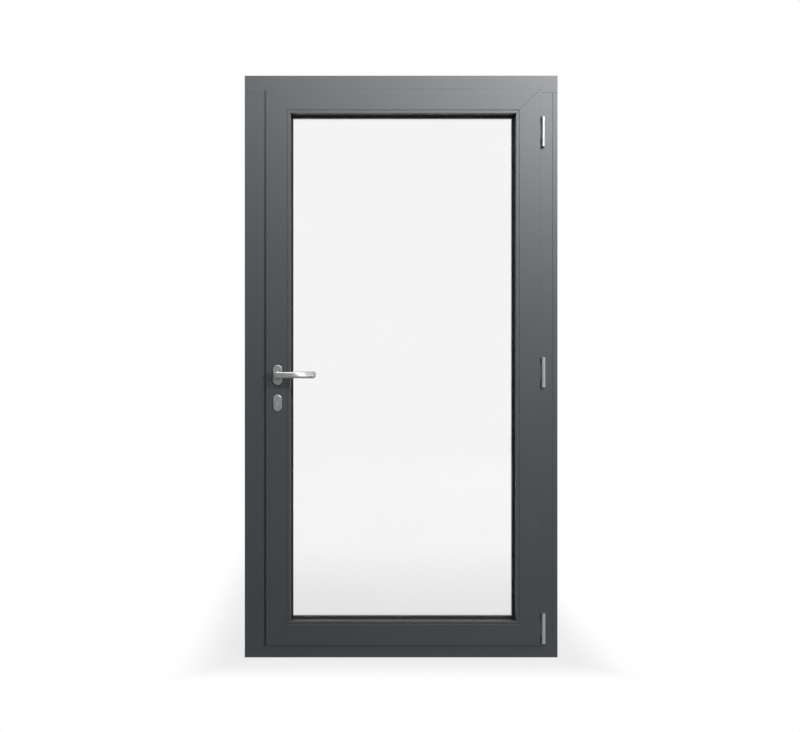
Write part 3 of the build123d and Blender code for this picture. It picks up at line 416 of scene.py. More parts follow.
POWDER_COAT = Finish(
    name="anthracite_powder_coat",
    slot=Slot.PROFILE,
    tint=srgb(52, 58, 62),
    shade=srgb(47, 52, 56),
    roughness=0.45,
    spread=0.10,
    mottle=2.5,
    grain=1100.0,
    relief=0.00004,
    specular=0.8,
    rub=0.25,
)
POLYAMIDE = Finish(
    name="ribbed_polyamide",
    slot=Slot.POLYAMIDE,
    tint=srgb(38, 38, 39),
    shade=srgb(26, 26, 27),
    roughness=0.62,
    spread=0.16,
    mottle=30.0,
    grain=900.0,
    relief=0.00008,
)
RUBBER = Finish(
    name="extruded_black_rubber",
    slot=Slot.RUBBER,
    tint=srgb(30, 30, 31),
    shade=srgb(20, 20, 21),
    roughness=0.66,
    spread=0.20,
    mottle=18.0,
    grain=1500.0,
    relief=0.00005,
)
CLEAR_GLASS = Finish(
    name="clear_float_glass",
    slot=Slot.GLASS,
    tint=srgb(252, 252, 252),
    shade=srgb(250, 250, 250),
    roughness=0.004,
    spread=0.008,
    mottle=3.0,
    grain=9.0,
    relief=0.00001,
    transmission=1.0,
)
SPACER = Finish(
    name="black_warm_edge_spacer",
    slot=Slot.SPACER,
    tint=srgb(36, 36, 37),
    shade=srgb(24, 24, 25),
    roughness=0.55,
    spread=0.16,
    mottle=25.0,
    grain=1200.0,
    relief=0.00005,
)
SETTING_BLOCK = Finish(
    name="moulded_setting_block",
    slot=Slot.BLOCK,
    tint=srgb(58, 76, 118),
    shade=srgb(48, 64, 102),
    roughness=0.50,
    spread=0.14,
    mottle=40.0,
    grain=700.0,
    relief=0.00006,
)
MILL_ALUMINIUM = Finish(
    name="mill_aluminium",
    slot=Slot.ALUMINIUM,
    tint=srgb(212, 214, 216),
    shade=srgb(184, 186, 189),
    roughness=0.36,
    spread=0.22,
    mottle=30.0,
    grain=420.0,
    relief=0.00004,
    metallic=1.0,
    stretch=(1.0, 1.0, 0.06),
)
HINGE_SILVER = Finish(
    name="satin_silver_hinge",
    slot=Slot.HINGE,
    tint=srgb(192, 194, 196),
    shade=srgb(178, 180, 182),
    roughness=0.30,
    spread=0.12,
    mottle=30.0,
    grain=900.0,
    relief=0.00003,
    metallic=0.55,
    rub=0.10,
)
# Darker copy of the hinge silver. This is painted shade: the leaves beside the knuckles sit in the barrel's
# shadow.
HINGE_LEAF_PAINTED_SHADE = Finish(
    name="hinge_leaf_painted_shade",
    slot=Slot.HINGE,
    tint=srgb(88, 90, 92),
    shade=srgb(74, 76, 78),
    roughness=0.55,
    spread=0.16,
    mottle=40.0,
    grain=800.0,
    relief=0.00004,
    metallic=0.3,
)
SATIN_NICKEL = Finish(
    name="satin_nickel_furniture",
    slot=Slot.HANDLE,
    tint=srgb(180, 180, 181),
    shade=srgb(166, 166, 167),
    roughness=0.32,
    spread=0.12,
    mottle=20.0,
    grain=1300.0,
    relief=0.000006,
    metallic=0.7,
    rub=0.10,
    stretch=(0.08, 1.0, 1.0),
)
PLATED_BRASS = Finish(
    name="nickel_plated_brass",
    slot=Slot.CYLINDER,
    tint=srgb(186, 186, 185),
    shade=srgb(166, 166, 165),
    roughness=0.34,
    spread=0.14,
    mottle=60.0,
    grain=1500.0,
    relief=0.00002,
    metallic=0.6,
)
ZINC_STEEL = Finish(
    name="zinc_plated_steel",
    slot=Slot.STEEL,
    tint=srgb(202, 205, 208),
    shade=srgb(168, 171, 175),
    roughness=0.34,
    spread=0.24,
    mottle=70.0,
    grain=900.0,
    relief=0.00003,
    metallic=1.0,
    rub=0.08,
)


class Workshop:
    """Mesh work that every sub-assembly uses, in metres and radians."""

    SHARP = math.radians(36)
    FLAT = math.radians(0.6)
    MERGE = 0.000004
    LONG = 0.004
    BAR = 0.8
    ALONG = 0.99
    SEGMENTS = 3
    ROUNDED = 1
    NORMAL_WEIGHT = 100

    @classmethod
    def softened(cls, node: str, edge: Edge) -> bpy.types.Object:
        """Copies a node's solid and rounds its outer edges in one pass.

        Args:
            node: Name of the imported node.
            edge: Width of the rounding.

        Returns:
            The new object, with an attribute that marks its rounded edges.
        """
        work = bmesh.new()
        work.from_mesh(frame["nodes"][node].data)
        bmesh.ops.remove_doubles(work, verts=work.verts, dist=cls.MERGE)
        bmesh.ops.dissolve_limit(work, angle_limit=cls.FLAT, verts=work.verts, edges=work.edges)
        cls.weigh(work, edge)
        piece = cls.placed(work, f"{node}_finished")
        plain = bpy.data.materials.new("edge_mark")
        for _ in range(cls.ROUNDED + 1):
            piece.data.materials.append(plain)
        soft = piece.modifiers.new("soft_edges", "BEVEL")
        soft.limit_method = "WEIGHT"
        soft.width = edge.value
        soft.segments = cls.SEGMENTS
        soft.material = cls.ROUNDED
        cls.applied(piece)
        mark = piece.data.attributes.new("edge", "FLOAT", "FACE")
        mark.data.foreach_set("value", [face.material_index for face in piece.data.polygons])
        piece.data.materials.clear()
        bpy.data.materials.remove(plain)
        return cls.smoothed(piece)

    @classmethod
    def weigh(cls, work: bmesh.types.BMesh, edge: Edge) -> None:
        """Weighs the edges to round: fully along a bar, and as a fine joint at its ends.

        Args:
            work: The mesh work.
            edge: Width of the full rounding.
        """
        weights = work.edges.layers.float.new("bevel_weight_edge")
        sizes = [max(v.co[a] for v in work.verts) - min(v.co[a] for v in work.verts) for a in range(3)]
        longest = sizes.index(max(sizes))
        bar = max(sizes) > cls.BAR
        joint = min(1.0, Edge.JOINT.value / edge.value)
        for corner in filter(cls.outer, work.edges):
            corner[weights] = joint if bar and not cls.parallel(corner, longest) else 1.0

    @classmethod
    def outer(cls, edge: bmesh.types.BMEdge) -> bool:
        """Tells whether an edge is a long outer corner."""
        if not edge.is_manifold or not edge.is_convex or edge.calc_length() <= cls.LONG:
            return False
        return edge.calc_face_angle() > cls.SHARP

    @classmethod
    def parallel(cls, edge: bmesh.types.BMEdge, axis: int) -> bool:
        """Tells whether an edge runs along an axis."""
        way = edge.verts[1].co - edge.verts[0].co
        return abs(way[axis]) > cls.ALONG * way.length

    @staticmethod
    def placed(work: bmesh.types.BMesh, name: str) -> bpy.types.Object:
        """Turns mesh work into an object of the scene.

        Args:
            work: The mesh work, which is freed.
            name: Name of the piece.

        Returns:
            The new object at the origin.
        """
        mesh = bpy.data.meshes.new(name)
        work.to_mesh(mesh)
        work.free()
        piece = bpy.data.objects.new(name, mesh)
        bpy.context.scene.collection.objects.link(piece)
        return piece

    @classmethod
    def smoothed(cls, piece: bpy.types.Object) -> bpy.types.Object:
        """Gives a piece even shading with sharp corners kept.

        Args:
            piece: Object with a plain mesh.

        Returns:
            The same object.
        """
        piece.data.shade_smooth()
        piece.data.set_sharp_from_angle(angle=cls.SHARP)
        even = piece.modifiers.new("even_normals", "WEIGHTED_NORMAL")
        even.weight = cls.NORMAL_WEIGHT
        even.keep_sharp = True
        return cls.applied(piece)

    @staticmethod
    def applied(piece: bpy.types.Object) -> bpy.types.Object:
        """Puts the result of a piece's modifiers into its mesh.

        Args:
            piece: Object with modifiers.

        Returns:
            The same object with a plain mesh and no modifiers.
        """
        graph = bpy.context.evaluated_depsgraph_get()
        mesh = bpy.data.meshes.new_from_object(piece.evaluated_get(graph), depsgraph=graph)
        old = piece.data
        piece.modifiers.clear()
        piece.data = mesh
        mesh.name = piece.name
        bpy.data.meshes.remove(old)
        return piece

    @staticmethod
    def mount(piece: bpy.types.Object, finish: Finish, body: str, *nodes: str) -> bpy.types.Object:
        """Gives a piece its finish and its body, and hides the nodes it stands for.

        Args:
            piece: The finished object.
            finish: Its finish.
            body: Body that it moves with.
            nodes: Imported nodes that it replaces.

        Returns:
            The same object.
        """
        piece.data.materials.clear()
        piece.data.materials.append(finish.material())
        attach(piece, body)
        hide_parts(*nodes)
        LOG.info("%s: %d faces, %s", piece.name, len(piece.data.polygons), finish.name)
        return piece

    @classmethod
    def dress(cls, node: str, finish: Finish, edge: Edge) -> bpy.types.Object:
        """Stands a softened and finished copy in for a node.

        Args:
            node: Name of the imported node.
            finish: Its finish.
            edge: Width of its softened edges.

        Returns:
            The new piece.
        """
        return cls.mount(cls.softened(node, edge), finish, frame["nodes"][node]["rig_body"], node)


@dataclass(frozen=True)
class FrameAssembly:
    """The fixed frame: profiles, jamb extensions, strips, connectors and seal."""

    bars: tuple[str, ...] = (
        "frame_head_inner",
        "frame_head_outer",
        "frame_sill_inner",
        "frame_sill_outer",
        "frame_lock_jamb_inner",
        "frame_lock_jamb_outer",
        "frame_hinge_jamb_inner",
        "frame_hinge_jamb_outer",
        "frame_lock_extension",
        "frame_hinge_extension",
    )

    def dress(self) -> None:
        """Dresses every piece of the frame."""
        for bar in self.bars:
            Workshop.dress(bar, POWDER_COAT, Edge.EXTRUDED)
        Workshop.dress("frame_thermal_breaks", POLYAMIDE, Edge.CRISP)
        Workshop.dress("frame_corner_blocks", MILL_ALUMINIUM, Edge.CRISP)
        Workshop.dress("frame_gasket", RUBBER, Edge.RUBBER)


@dataclass(frozen=True)
class SashAssembly:
    """The leaf: mitred profiles, beads, strips, cleats and seal."""

    bars: tuple[str, ...] = (
        "sash_lock_stile_inner",
        "sash_lock_stile_outer",
        "sash_hinge_stile_inner",
        "sash_hinge_stile_outer",
        "sash_top_rail_inner",
        "sash_top_rail_outer",
        "sash_bottom_rail_inner",
        "sash_bottom_rail_outer",
    )
    beads: tuple[str, ...] = (
        "glazing_bead_lock",
        "glazing_bead_hinge",
        "glazing_bead_top",
        "glazing_bead_bottom",
    )

    def dress(self) -> None:
        """Dresses every piece of the leaf."""
        for bar in self.bars:
            Workshop.dress(bar, POWDER_COAT, Edge.EXTRUDED)
        for bead in self.beads:
            Workshop.dress(bead, POWDER_COAT, Edge.BEAD)
        Workshop.dress("sash_thermal_breaks", POLYAMIDE, Edge.CRISP)
        Workshop.dress("sash_corner_cleats", MILL_ALUMINIUM, Edge.CRISP)
        Workshop.dress("sash_gasket", RUBBER, Edge.RUBBER)


@dataclass(frozen=True)
class Glazing:
    """The sealed double glass with its rubber and its blocks."""

    panes: tuple[str, ...] = ("glass_inner_pane", "glass_outer_pane")
    seals: tuple[str, ...] = ("glazing_gasket_inner", "glazing_gasket_outer")

    def dress(self) -> None:
        """Dresses the panes and everything that holds them."""
        for pane in self.panes:
            Workshop.dress(pane, CLEAR_GLASS, Edge.CRISP)
        for seal in self.seals:
            Workshop.dress(seal, RUBBER, Edge.RUBBER)
        Workshop.dress("glass_spacer", SPACER, Edge.CRISP)
        Workshop.dress("setting_blocks", SETTING_BLOCK, Edge.CRISP)


@dataclass(frozen=True)
class HingeSet:
    """Three barrel hinges with satin knuckles and pins, and leaves darkened with painted shade, in metres."""

    axis: Pair = (0.5235, -0.034)
    barrel: float = 0.0077
    painted_shade_index: int = 1
    leaves: tuple[str, ...] = ("hinge_frame_leaves", "hinge_sash_leaves")

    def dress(self) -> None:
        """Dresses the hinges, with painted shade on the leaves."""
        Workshop.dress("hinge_pins", HINGE_SILVER, Edge.CRISP)
        for leaf in self.leaves:
            mesh = Workshop.dress(leaf, HINGE_SILVER, Edge.CRISP).data
            # Faces off the knuckles take the darker copy of the silver, which paints the shade that the
            # barrel casts on the leaves.
            mesh.materials.append(HINGE_LEAF_PAINTED_SHADE.material())
            for face in mesh.polygons:
                if not self.on_barrel([mesh.vertices[corner].co for corner in face.vertices]):
                    face.material_index = self.painted_shade_index

    def on_barrel(self, corners: list[Vector]) -> bool:
        """Tells whether a face lies on a knuckle."""
        return all(math.dist(corner.xy, self.axis) < self.barrel for corner in corners)


@dataclass(frozen=True)
class LockSet:
    """The lock, its bolts and rods, their keeps, and the cylinder."""

    steel: tuple[str, ...] = (
        "lock_strike",
        "rod_keeps",
        "lock_case",
        "lock_faceplate",
        "lock_follower",
        "spindle",
        "latch_bolt",
        "deadbolt",
        "drive_rod_upper",
        "drive_rod_lower",
        "cylinder_screw",
    )
    brass: tuple[str, ...] = (
        "cylinder_body",
        "cylinder_plug_inside",
        "cylinder_plug_outside",
        "cylinder_cam",
    )

    def dress(self) -> None:
        """Dresses the lock and the cylinder."""
        for piece in self.steel:
            Workshop.dress(piece, ZINC_STEEL, Edge.CRISP)
        for piece in self.brass:
            Workshop.dress(piece, PLATED_BRASS, Edge.CRISP)


@dataclass(frozen=True)
class LeverSet:
    """Straight levers on round necks with their rosettes and escutcheons, in metres."""

    axis_x: float = -0.456
    axis_z: float = 1.044
    face: float = 0.036
    root: float = 0.0083
    collar_depth: float = 0.005
    collar_radius: float = 0.0125
    projection: float = 0.058
    reach: float = 0.138
    neck_radius: float = 0.0085
    half_thickness: float = 0.008
    half_height: float = 0.0115
    heel_round: float = 0.0018
    tip_round: float = 0.007
    fullness: float = 5.0
    twist: float = math.radians(42)
    around: int = 56
    end_steps: int = 8
    bar_steps: int = 32
    collar_soft: float = 0.00125
    collar_ease: float = 0.3
    plates: tuple[str, ...] = (
        "rosette_inside",
        "rosette_outside",
        "escutcheon_inside",
        "escutcheon_outside",
    )

    def stations(self) -> list[Station]:
        """Places of the grip's sections from its heel to its tip, for the inner side.

        Returns:
            The centre, the ways across and up the section, and the inset of each section.
        """
        y = -(self.face + self.projection - self.half_thickness)
        heel = self.axis_x - self.half_thickness
        first = heel + self.heel_round
        tip = self.axis_x + self.reach
        last = tip - self.tip_round
        places = []
        for step in range(self.end_steps + 1):
            angle = math.pi / 2 * step / self.end_steps
            inset = self.heel_round * (1 - math.sin(angle))
            places.append((first - self.heel_round * math.cos(angle), inset))
        for step in range(1, self.bar_steps + 1):
            places.append((first + (last - first) * step / self.bar_steps, 0.0))
        for step in range(1, self.end_steps + 1):
            angle = math.pi / 2 * step / self.end_steps
            inset = self.tip_round * (1 - math.cos(angle))
            places.append((last + self.tip_round * math.sin(angle), inset))
        found = []
        for x, inset in places:
            share = max(0.0, x - self.axis_x) / self.reach
            found.append((Vector((x, y, self.axis_z)), *self.turned(share), inset))
        return found

    def turned(self, share: float) -> tuple[Vector, Vector]:
        """Ways across and up the grip, which leans back towards its tip.

        Args:
            share: Share of the grip's length, from the spindle to the tip.

        Returns:
            The two ways, square to each other.
        """
        lean = self.twist * share**2
        across = Vector((0, math.cos(lean), -math.sin(lean)))
        up = Vector((0, math.sin(lean), math.cos(lean)))
        return across, up

    def ring(self, work: bmesh.types.BMesh, station: Station) -> list[bmesh.types.BMVert]:
        """Adds one full oval section.

        Args:
            work: Mesh work to add to.
            station: Centre, ways across and up, and inset of the section.

        Returns:
            The section's vertices in order.
        """
        centre, across, up, inset = station
        power = 2 / self.fullness
        made = []
        for step in range(self.around):
            angle = 2 * math.pi * step / self.around
            cosine, sine = math.cos(angle), math.sin(angle)
            wide = (self.half_thickness - inset) * math.copysign(abs(cosine) ** power, cosine)
            high = (self.half_height - inset) * math.copysign(abs(sine) ** power, sine)
            made.append(work.verts.new(centre + across * wide + up * high))
        return made

    def neck(self, work: bmesh.types.BMesh) -> None:
        """Adds the round neck and the collar that sits on the rosette."""
        soft = self.collar_soft
        ease = soft * self.collar_ease
        collar_end = self.root + self.collar_depth
        outline = (
            (self.collar_radius, self.root),
            (self.collar_radius, collar_end - soft),
            (self.collar_radius - ease, collar_end - ease),
            (self.collar_radius - soft, collar_end),
            (self.neck_radius, collar_end),
            (self.neck_radius, self.projection - self.half_thickness),
        )
        rings = []
        for radius, height in outline:
            loop = []
            for step in range(self.around):
                angle = 2 * math.pi * step / self.around
                x = self.axis_x + radius * math.cos(angle)
                z = self.axis_z + radius * math.sin(angle)
                loop.append(work.verts.new((x, -self.face - height, z)))
            rings.append(loop)
        self.skin(work, rings)

    @staticmethod
    def skin(work: bmesh.types.BMesh, rings: list[list[bmesh.types.BMVert]]) -> None:
        """Joins rings into a closed skin with flat ends.

        Args:
            work: Mesh work to add to.
            rings: Rings of equal length, in order.
        """
        count = len(rings[0])
        for near, far in zip(rings, rings[1:]):
            for step in range(count):
                after = (step + 1) % count
                work.faces.new((near[step], near[after], far[after], far[step]))
        work.faces.new(rings[0])
        work.faces.new(rings[-1])

    def lever(self, side: str, flip: bool) -> bpy.types.Object:
        """Builds one lever.

        Args:
            side: Name of the face of the door that it is on.
            flip: Whether it is mirrored to the far face.

        Returns:
            The new object.
        """
        work = bmesh.new()
        self.skin(work, [self.ring(work, station) for station in self.stations()])
        self.neck(work)
        if flip:
            bmesh.ops.transform(work, matrix=Matrix.Diagonal((1, -1, 1, 1)), verts=work.verts)
        bmesh.ops.recalc_face_normals(work, faces=work.faces)
        return Workshop.smoothed(Workshop.placed(work, f"lever_{side}_finished"))

    def dress(self) -> None:
        """Builds the levers and dresses their plates."""
        for side, flip in (("inside", False), ("outside", True)):
            Workshop.mount(self.lever(side, flip), SATIN_NICKEL, "handle", f"lever_{side}")
        for plate in self.plates:
            Workshop.dress(plate, SATIN_NICKEL, Edge.CRISP)


@dataclass(frozen=True)
class ScrewSet:
    """Countersunk cross-recessed screws, placed by a geometry tree, in metres."""

    head_radius: float = 0.004
    head_depth: float = 0.002
    shank_radius: float = 0.0021
    length: float = 0.012
    recess_width: float = 0.0011
    recess_length: float = 0.0046
    recess_depth: float = 0.0013
    sides: int = 28

    def sizes(self) -> dict[str, float]:
        """Gives the tree's named sizes."""
        return {
            "Head Radius": self.head_radius,
            "Head Depth": self.head_depth,
            "Shank Radius": self.shank_radius,
            "Length": self.length,
            "Recess Width": self.recess_width,
            "Recess Length": self.recess_length,
            "Recess Depth": self.recess_depth,
        }

    def places(self, node: str) -> Places:
        """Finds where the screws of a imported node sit.

        Args:
            node: Name of the node that holds the screws' solids.

        Returns:
            Head centre and outward direction of each screw.
        """
        work = bmesh.new()
        work.from_mesh(frame["nodes"][node].data)
        bmesh.ops.remove_doubles(work, verts=work.verts, dist=Workshop.MERGE)
        left = set(work.verts)
        found = []
        while left:
            solid = self.island(left)
            low = Vector([min(v.co[axis] for v in solid) for axis in range(3)])
            high = Vector([max(v.co[axis] for v in solid) for axis in range(3)])
            along = max(range(3), key=lambda axis: high[axis] - low[axis])
            middle = (low + high) / 2
            widest = max(solid, key=lambda v: sum((v.co[a] - middle[a]) ** 2 for a in range(3) if a != along))
            outward = Vector((0, 0, 0))
            outward[along] = math.copysign(1, widest.co[along] - middle[along])
            middle[along] = high[along] if outward[along] > 0 else low[along]
            found.append((middle, outward))
        work.free()
        return sorted(found, key=lambda place: tuple(place[0]))

    @staticmethod
    def island(left: set[bmesh.types.BMVert]) -> list[bmesh.types.BMVert]:
        """Takes one connected solid out of a set of vertices.

        Args:
            left: Vertices not yet taken, which is emptied as solids are found.

        Returns:
            The vertices of the solid.
        """
        waiting = [left.pop()]
        solid = []
        while waiting:
            vertex = waiting.pop()
            solid.append(vertex)
            for edge in vertex.link_edges:
                other = edge.other_vert(vertex)
                if other in left:
                    left.remove(other)
                    waiting.append(other)
        return solid

    def tree(self) -> bpy.types.NodeTree:
        """Builds the geometry tree that makes one screw and sets it at every place.

        Returns:
            The tree with its named inputs.
        """
        tree = bpy.data.node_groups.new("countersunk_screws", "GeometryNodeTree")
        tree.interface.new_socket("Places", in_out="INPUT", socket_type="NodeSocketGeometry")
        for name in self.sizes():
            tree.interface.new_socket(name, in_out="INPUT", socket_type="NodeSocketFloat")
        tree.interface.new_socket("Finish", in_out="INPUT", socket_type="NodeSocketMaterial")
        tree.interface.new_socket("Screws", in_out="OUTPUT", socket_type="NodeSocketGeometry")
        sheet = NodeSheet(tree)
        given = sheet.add("NodeGroupInput").outputs
        body = self.blank(sheet, given)
        cut = sheet.add("GeometryNodeMeshBoolean", operation="DIFFERENCE")
        sheet.link(body, cut.inputs["Mesh 1"])
        for turned in (False, True):
            sheet.link(self.bit(sheet, given, turned), cut.inputs["Mesh 2"])
        aim = sheet.add("GeometryNodeInputNamedAttribute", data_type="FLOAT_VECTOR")
        aim.inputs["Name"].default_value = "aim"
        turn = sheet.add("FunctionNodeAlignRotationToVector", axis="Z")
        sheet.link(aim.outputs[0], turn.inputs["Vector"])
        copies = sheet.add("GeometryNodeInstanceOnPoints")
        sheet.link(given["Places"], copies.inputs["Points"])
        sheet.link(cut.outputs[0], copies.inputs["Instance"])
        sheet.link(turn.outputs[0], copies.inputs["Rotation"])
        real = sheet.add("GeometryNodeRealizeInstances")
        sheet.link(copies.outputs[0], real.inputs[0])
        painted = sheet.add("GeometryNodeSetMaterial")
        sheet.link(real.outputs[0], painted.inputs["Geometry"])
        sheet.link(given["Finish"], painted.inputs["Material"])
        sheet.link(painted.outputs[0], sheet.add("NodeGroupOutput").inputs["Screws"])
        return tree

    def blank(self, sheet: NodeSheet, given: bpy.types.NodeOutputs) -> bpy.types.NodeSocket:
        """Adds the screw without its recess, head up, with its top at the origin.

        Args:
            sheet: The tree's nodes.
            given: Outputs of the tree's input node.

        Returns:
            The socket of the closed mesh.
        """
        head = sheet.add("GeometryNodeMeshCone")
        head.inputs["Vertices"].default_value = self.sides
        sheet.link(given["Shank Radius"], head.inputs["Radius Top"])
        sheet.link(given["Head Radius"], head.inputs["Radius Bottom"])
        sheet.link(given["Head Depth"], head.inputs["Depth"])
        turned = sheet.add("GeometryNodeTransform")
        turned.inputs["Rotation"].default_value = (math.pi, 0, 0)
        sheet.link(head.outputs["Mesh"], turned.inputs["Geometry"])
        shank = sheet.add("GeometryNodeMeshCylinder")
        shank.inputs["Vertices"].default_value = self.sides
        sheet.link(given["Shank Radius"], shank.inputs["Radius"])
        sheet.link(given["Length"], shank.inputs["Depth"])
        lowered = sheet.add("GeometryNodeTransform")
        drop = sheet.add("ShaderNodeCombineXYZ")
        sheet.link(sheet.math("MULTIPLY", given["Length"], -0.5), drop.inputs["Z"])
        sheet.link(shank.outputs["Mesh"], lowered.inputs["Geometry"])
        sheet.link(drop.outputs[0], lowered.inputs["Translation"])
        whole = sheet.add("GeometryNodeMeshBoolean", operation="UNION")
        sheet.link(turned.outputs[0], whole.inputs["Mesh 2"])
        sheet.link(lowered.outputs[0], whole.inputs["Mesh 2"])
        return whole.outputs[0]

    @staticmethod
    def bit(sheet: NodeSheet, given: bpy.types.NodeOutputs, turned: bool) -> bpy.types.NodeSocket:
        """Adds one wing of the driver that cuts the cross recess.

        Args:
            sheet: The tree's nodes.
            given: Outputs of the tree's input node.
            turned: Whether the wing is turned a quarter.

        Returns:
            The socket of the wing's mesh.
        """
        size = sheet.add("ShaderNodeCombineXYZ")
        ways = ("Y", "X") if turned else ("X", "Y")
        sheet.link(given["Recess Length"], size.inputs[ways[0]])
        sheet.link(given["Recess Width"], size.inputs[ways[1]])
        sheet.link(sheet.math("MULTIPLY", given["Recess Depth"], 2.0), size.inputs["Z"])
        wing = sheet.add("GeometryNodeMeshCube")
        sheet.link(size.outputs[0], wing.inputs["Size"])
        return wing.outputs["Mesh"]

    def screws(self, name: str, places: Places, tree: bpy.types.NodeTree) -> bpy.types.Object:
        """Makes all the screws of one body.

        Args:
            name: Name of the piece.
            places: Head centre and outward direction of each screw.
            tree: The geometry tree.

        Returns:
            The piece as a plain mesh.
        """
        mesh = bpy.data.meshes.new(name)
        mesh.from_pydata([place for place, _ in places], [], [])
        aim = mesh.attributes.new("aim", "FLOAT_VECTOR", "POINT")
        for point, (_, outward) in zip(aim.data, places):
            point.vector = outward
        piece = bpy.data.objects.new(name, mesh)
        bpy.context.scene.collection.objects.link(piece)
        modifier = piece.modifiers.new("screws", "NODES")
        modifier.node_group = tree
        values = {**self.sizes(), "Finish": ZINC_STEEL.material()}
        for item in tree.interface.items_tree:
            if item.in_out == "INPUT" and item.name in values:
                modifier[item.identifier] = values[item.name]
        return Workshop.applied(piece)

    def dress(self) -> None:
        """Sets the screws of the frame and of the leaf."""
        tree = self.tree()
        for body in ("frame", "sash"):
            node = f"{body}_screws"
            piece = self.screws(f"{node}_finished", self.places(node), tree)
            Workshop.mount(piece, ZINC_STEEL, body, node)


class LampShare(Enum):
    """Part of a surface's look that a lamp gives."""

    BODY = "body"
    SHEEN = "sheen"


@dataclass(frozen=True)
class SoftBox:
    """A soft lamp: where it hangs, where it points and how large and strong it is."""

    name: str
    place: Point
    aim: Point
    size: Pair
    power: float
    share: LampShare
    colour: Point = (1.0, 1.0, 1.0)

    def hang(self) -> None:
        """Adds the lamp to the scene."""
        lamp = bpy.data.lights.new(self.name, "AREA")
        lamp.color = self.colour
        lamp.shape = "RECTANGLE"
        lamp.size, lamp.size_y = self.size
        lamp.energy = self.power
        holder = bpy.data.objects.new(self.name, lamp)
        holder.location = self.place
        holder.visible_diffuse = self.share is LampShare.BODY
        holder.visible_glossy = self.share is LampShare.SHEEN
        way = Vector(self.aim) - Vector(self.place)
        holder.rotation_euler = way.to_track_quat("-Z", "Y").to_euler()
        bpy.context.scene.collection.objects.link(holder)


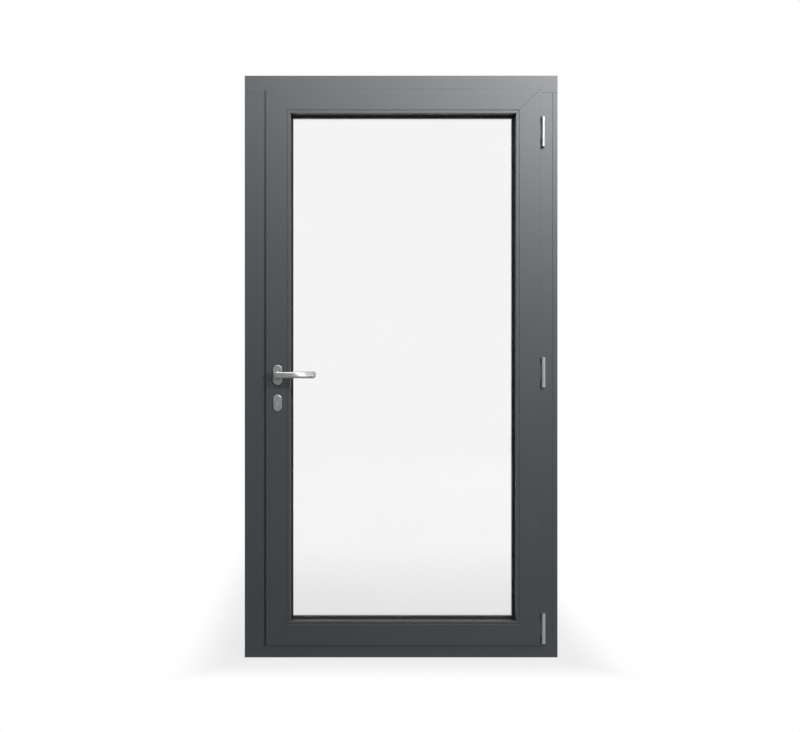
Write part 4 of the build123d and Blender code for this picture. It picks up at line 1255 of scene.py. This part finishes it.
@dataclass(frozen=True)
class Studio:
    """A pale floor, soft light from the right and above, and the camera, in metres."""

    eye: Point = (-0.22, -4.0, 1.077)
    lens: float = 48.42
    shift: Pair = (0.073, 0.0)
    lamps: tuple[SoftBox, ...] = (
        SoftBox(
            name="wide_soft_box",
            place=(0.45, -4.0, 3.8),
            aim=(0.2, 0.0, 1.6),
            size=(3.0, 0.5),
            power=104.0,
            share=LampShare.SHEEN,
            colour=(0.92, 0.96, 1.0),
        ),
        SoftBox(
            name="key_soft_box",
            place=(2.55, -4.0, 3.9),
            aim=(-0.1, 0.0, 1.1),
            size=(0.7, 0.7),
            power=280.0,
            share=LampShare.SHEEN,
        ),
        SoftBox(
            name="side_soft_box",
            place=(4.8, -7.4, 2.2),
            aim=(-0.1, 0.0, 1.1),
            size=(1.1, 1.1),
            power=690.0,
            share=LampShare.BODY,
        ),
    )
    ambient: float = 0.08
    front_glow: float = 0.22
    ceiling_glow: float = 1.4
    front_reach: Pair = (-0.9, 0.3)
    ceiling_reach: Pair = (0.5, 0.85)
    floor_half: float = 14.0
    floor_drop: float = 0.001
    floor_tone: Colour = (0.55, 0.55, 0.55, 1.0)
    floor_roughness: float = 0.9
    floor_white: float = 0.8
    behind_reach: Pair = (-0.1, 0.1)
    far_reach: Pair = (0.3, 2.8)
    near_reach: Pair = (-0.05, -0.35)
    aside_reach: Pair = (0.6, 0.85)

    def camera(self) -> None:
        """Sets the camera at the photograph's viewing angle."""
        lens = bpy.data.cameras.new("camera")
        lens.lens = self.lens
        lens.shift_x, lens.shift_y = self.shift
        eye = bpy.data.objects.new("camera", lens)
        eye.location = self.eye
        eye.rotation_euler = (math.pi / 2, 0, 0)
        bpy.context.scene.collection.objects.link(eye)
        bpy.context.scene.camera = eye

    def surroundings(self) -> None:
        """Lights the room: white behind the door and overhead, dimmer in front of it."""
        world = bpy.data.worlds.new("studio")
        world.use_nodes = True
        bpy.context.scene.world = world
        sheet = NodeSheet(world.node_tree)
        seen, glossy = sheet.rays()
        way = sheet.ways("Generated")
        depth = sheet.fade(way["Y"], self.front_reach, (self.front_glow, 1.0), smooth=False)
        ceiling = sheet.fade(way["Z"], self.ceiling_reach, (0.0, self.ceiling_glow))
        mirrored = sheet.math("MULTIPLY", sheet.math("MAXIMUM", depth, ceiling), glossy)
        lit = sheet.math("MAXIMUM", mirrored, self.ambient)
        strength = sheet.math("MAXIMUM", lit, seen)
        background = world.node_tree.nodes["Background"]
        background.inputs["Color"].default_value = (1, 1, 1, 1)
        sheet.link(strength, background.inputs["Strength"])

    def floor(self) -> None:
        """Lays a pale floor that keeps a soft shadow."""
        mesh = bpy.data.meshes.new("floor")
        half = self.floor_half
        corners = ((-half, -half), (half, -half), (half, half), (-half, half))
        mesh.from_pydata([(x, y, -self.floor_drop) for x, y in corners], [], [(0, 1, 2, 3)])
        floor = bpy.data.objects.new("floor", mesh)
        bpy.context.scene.collection.objects.link(floor)
        material = bpy.data.materials.new("pale_floor")
        material.use_nodes = True
        sheet = NodeSheet(material.node_tree)
        shader = material.node_tree.nodes["Principled BSDF"]
        shader.inputs["Base Color"].default_value = self.floor_tone
        shader.inputs["Roughness"].default_value = self.floor_roughness
        place = sheet.ways("Object")
        seen, glossy = sheet.rays()
        behind = sheet.fade(place["Y"], self.behind_reach)
        shown = sheet.math("MAXIMUM", seen, sheet.math("MULTIPLY", glossy, behind))
        white = sheet.add("ShaderNodeEmission")
        blend = sheet.add("ShaderNodeMixShader")
        sheet.link(sheet.math("MULTIPLY", shown, self.whiteness(sheet, place)), blend.inputs[0])
        sheet.link(shader.outputs[0], blend.inputs[1])
        sheet.link(white.outputs[0], blend.inputs[2])
        sheet.link(blend.outputs[0], material.node_tree.nodes["Material Output"].inputs["Surface"])
        mesh.materials.append(material)

    def whiteness(self, sheet: NodeSheet, place: bpy.types.NodeOutputs) -> bpy.types.NodeSocket:
        """Fades the floor from its shaded tone by the door to plain white further off.

        Args:
            sheet: The floor material's nodes.
            place: X, Y and Z of the place on the floor.

        Returns:
            The socket of the white share.
        """
        aside = sheet.math("ABSOLUTE", place["X"], 0.0)
        far = sheet.fade(place["Y"], self.far_reach)
        near = sheet.fade(place["Y"], self.near_reach)
        beside = sheet.fade(aside, self.aside_reach)
        share = sheet.math("MAXIMUM", sheet.math("MAXIMUM", far, near), beside)
        return sheet.math("ADD", self.floor_white, sheet.math("MULTIPLY", share, 1 - self.floor_white))

    def build(self) -> None:
        """Sets up the camera, the light and the floor."""
        bpy.context.scene.view_settings.view_transform = "Standard"
        self.camera()
        for lamp in self.lamps:
            lamp.hang()
        self.surroundings()
        self.floor()


def main() -> None:
    """Builds the studio and every sub-assembly in order."""
    logging.basicConfig(level=logging.INFO, format="%(message)s")
    Studio().build()
    FrameAssembly().dress()
    SashAssembly().dress()
    Glazing().dress()
    HingeSet().dress()
    LockSet().dress()
    LeverSet().dress()
    ScrewSet().dress()


if __name__ == "__main__":
    main()
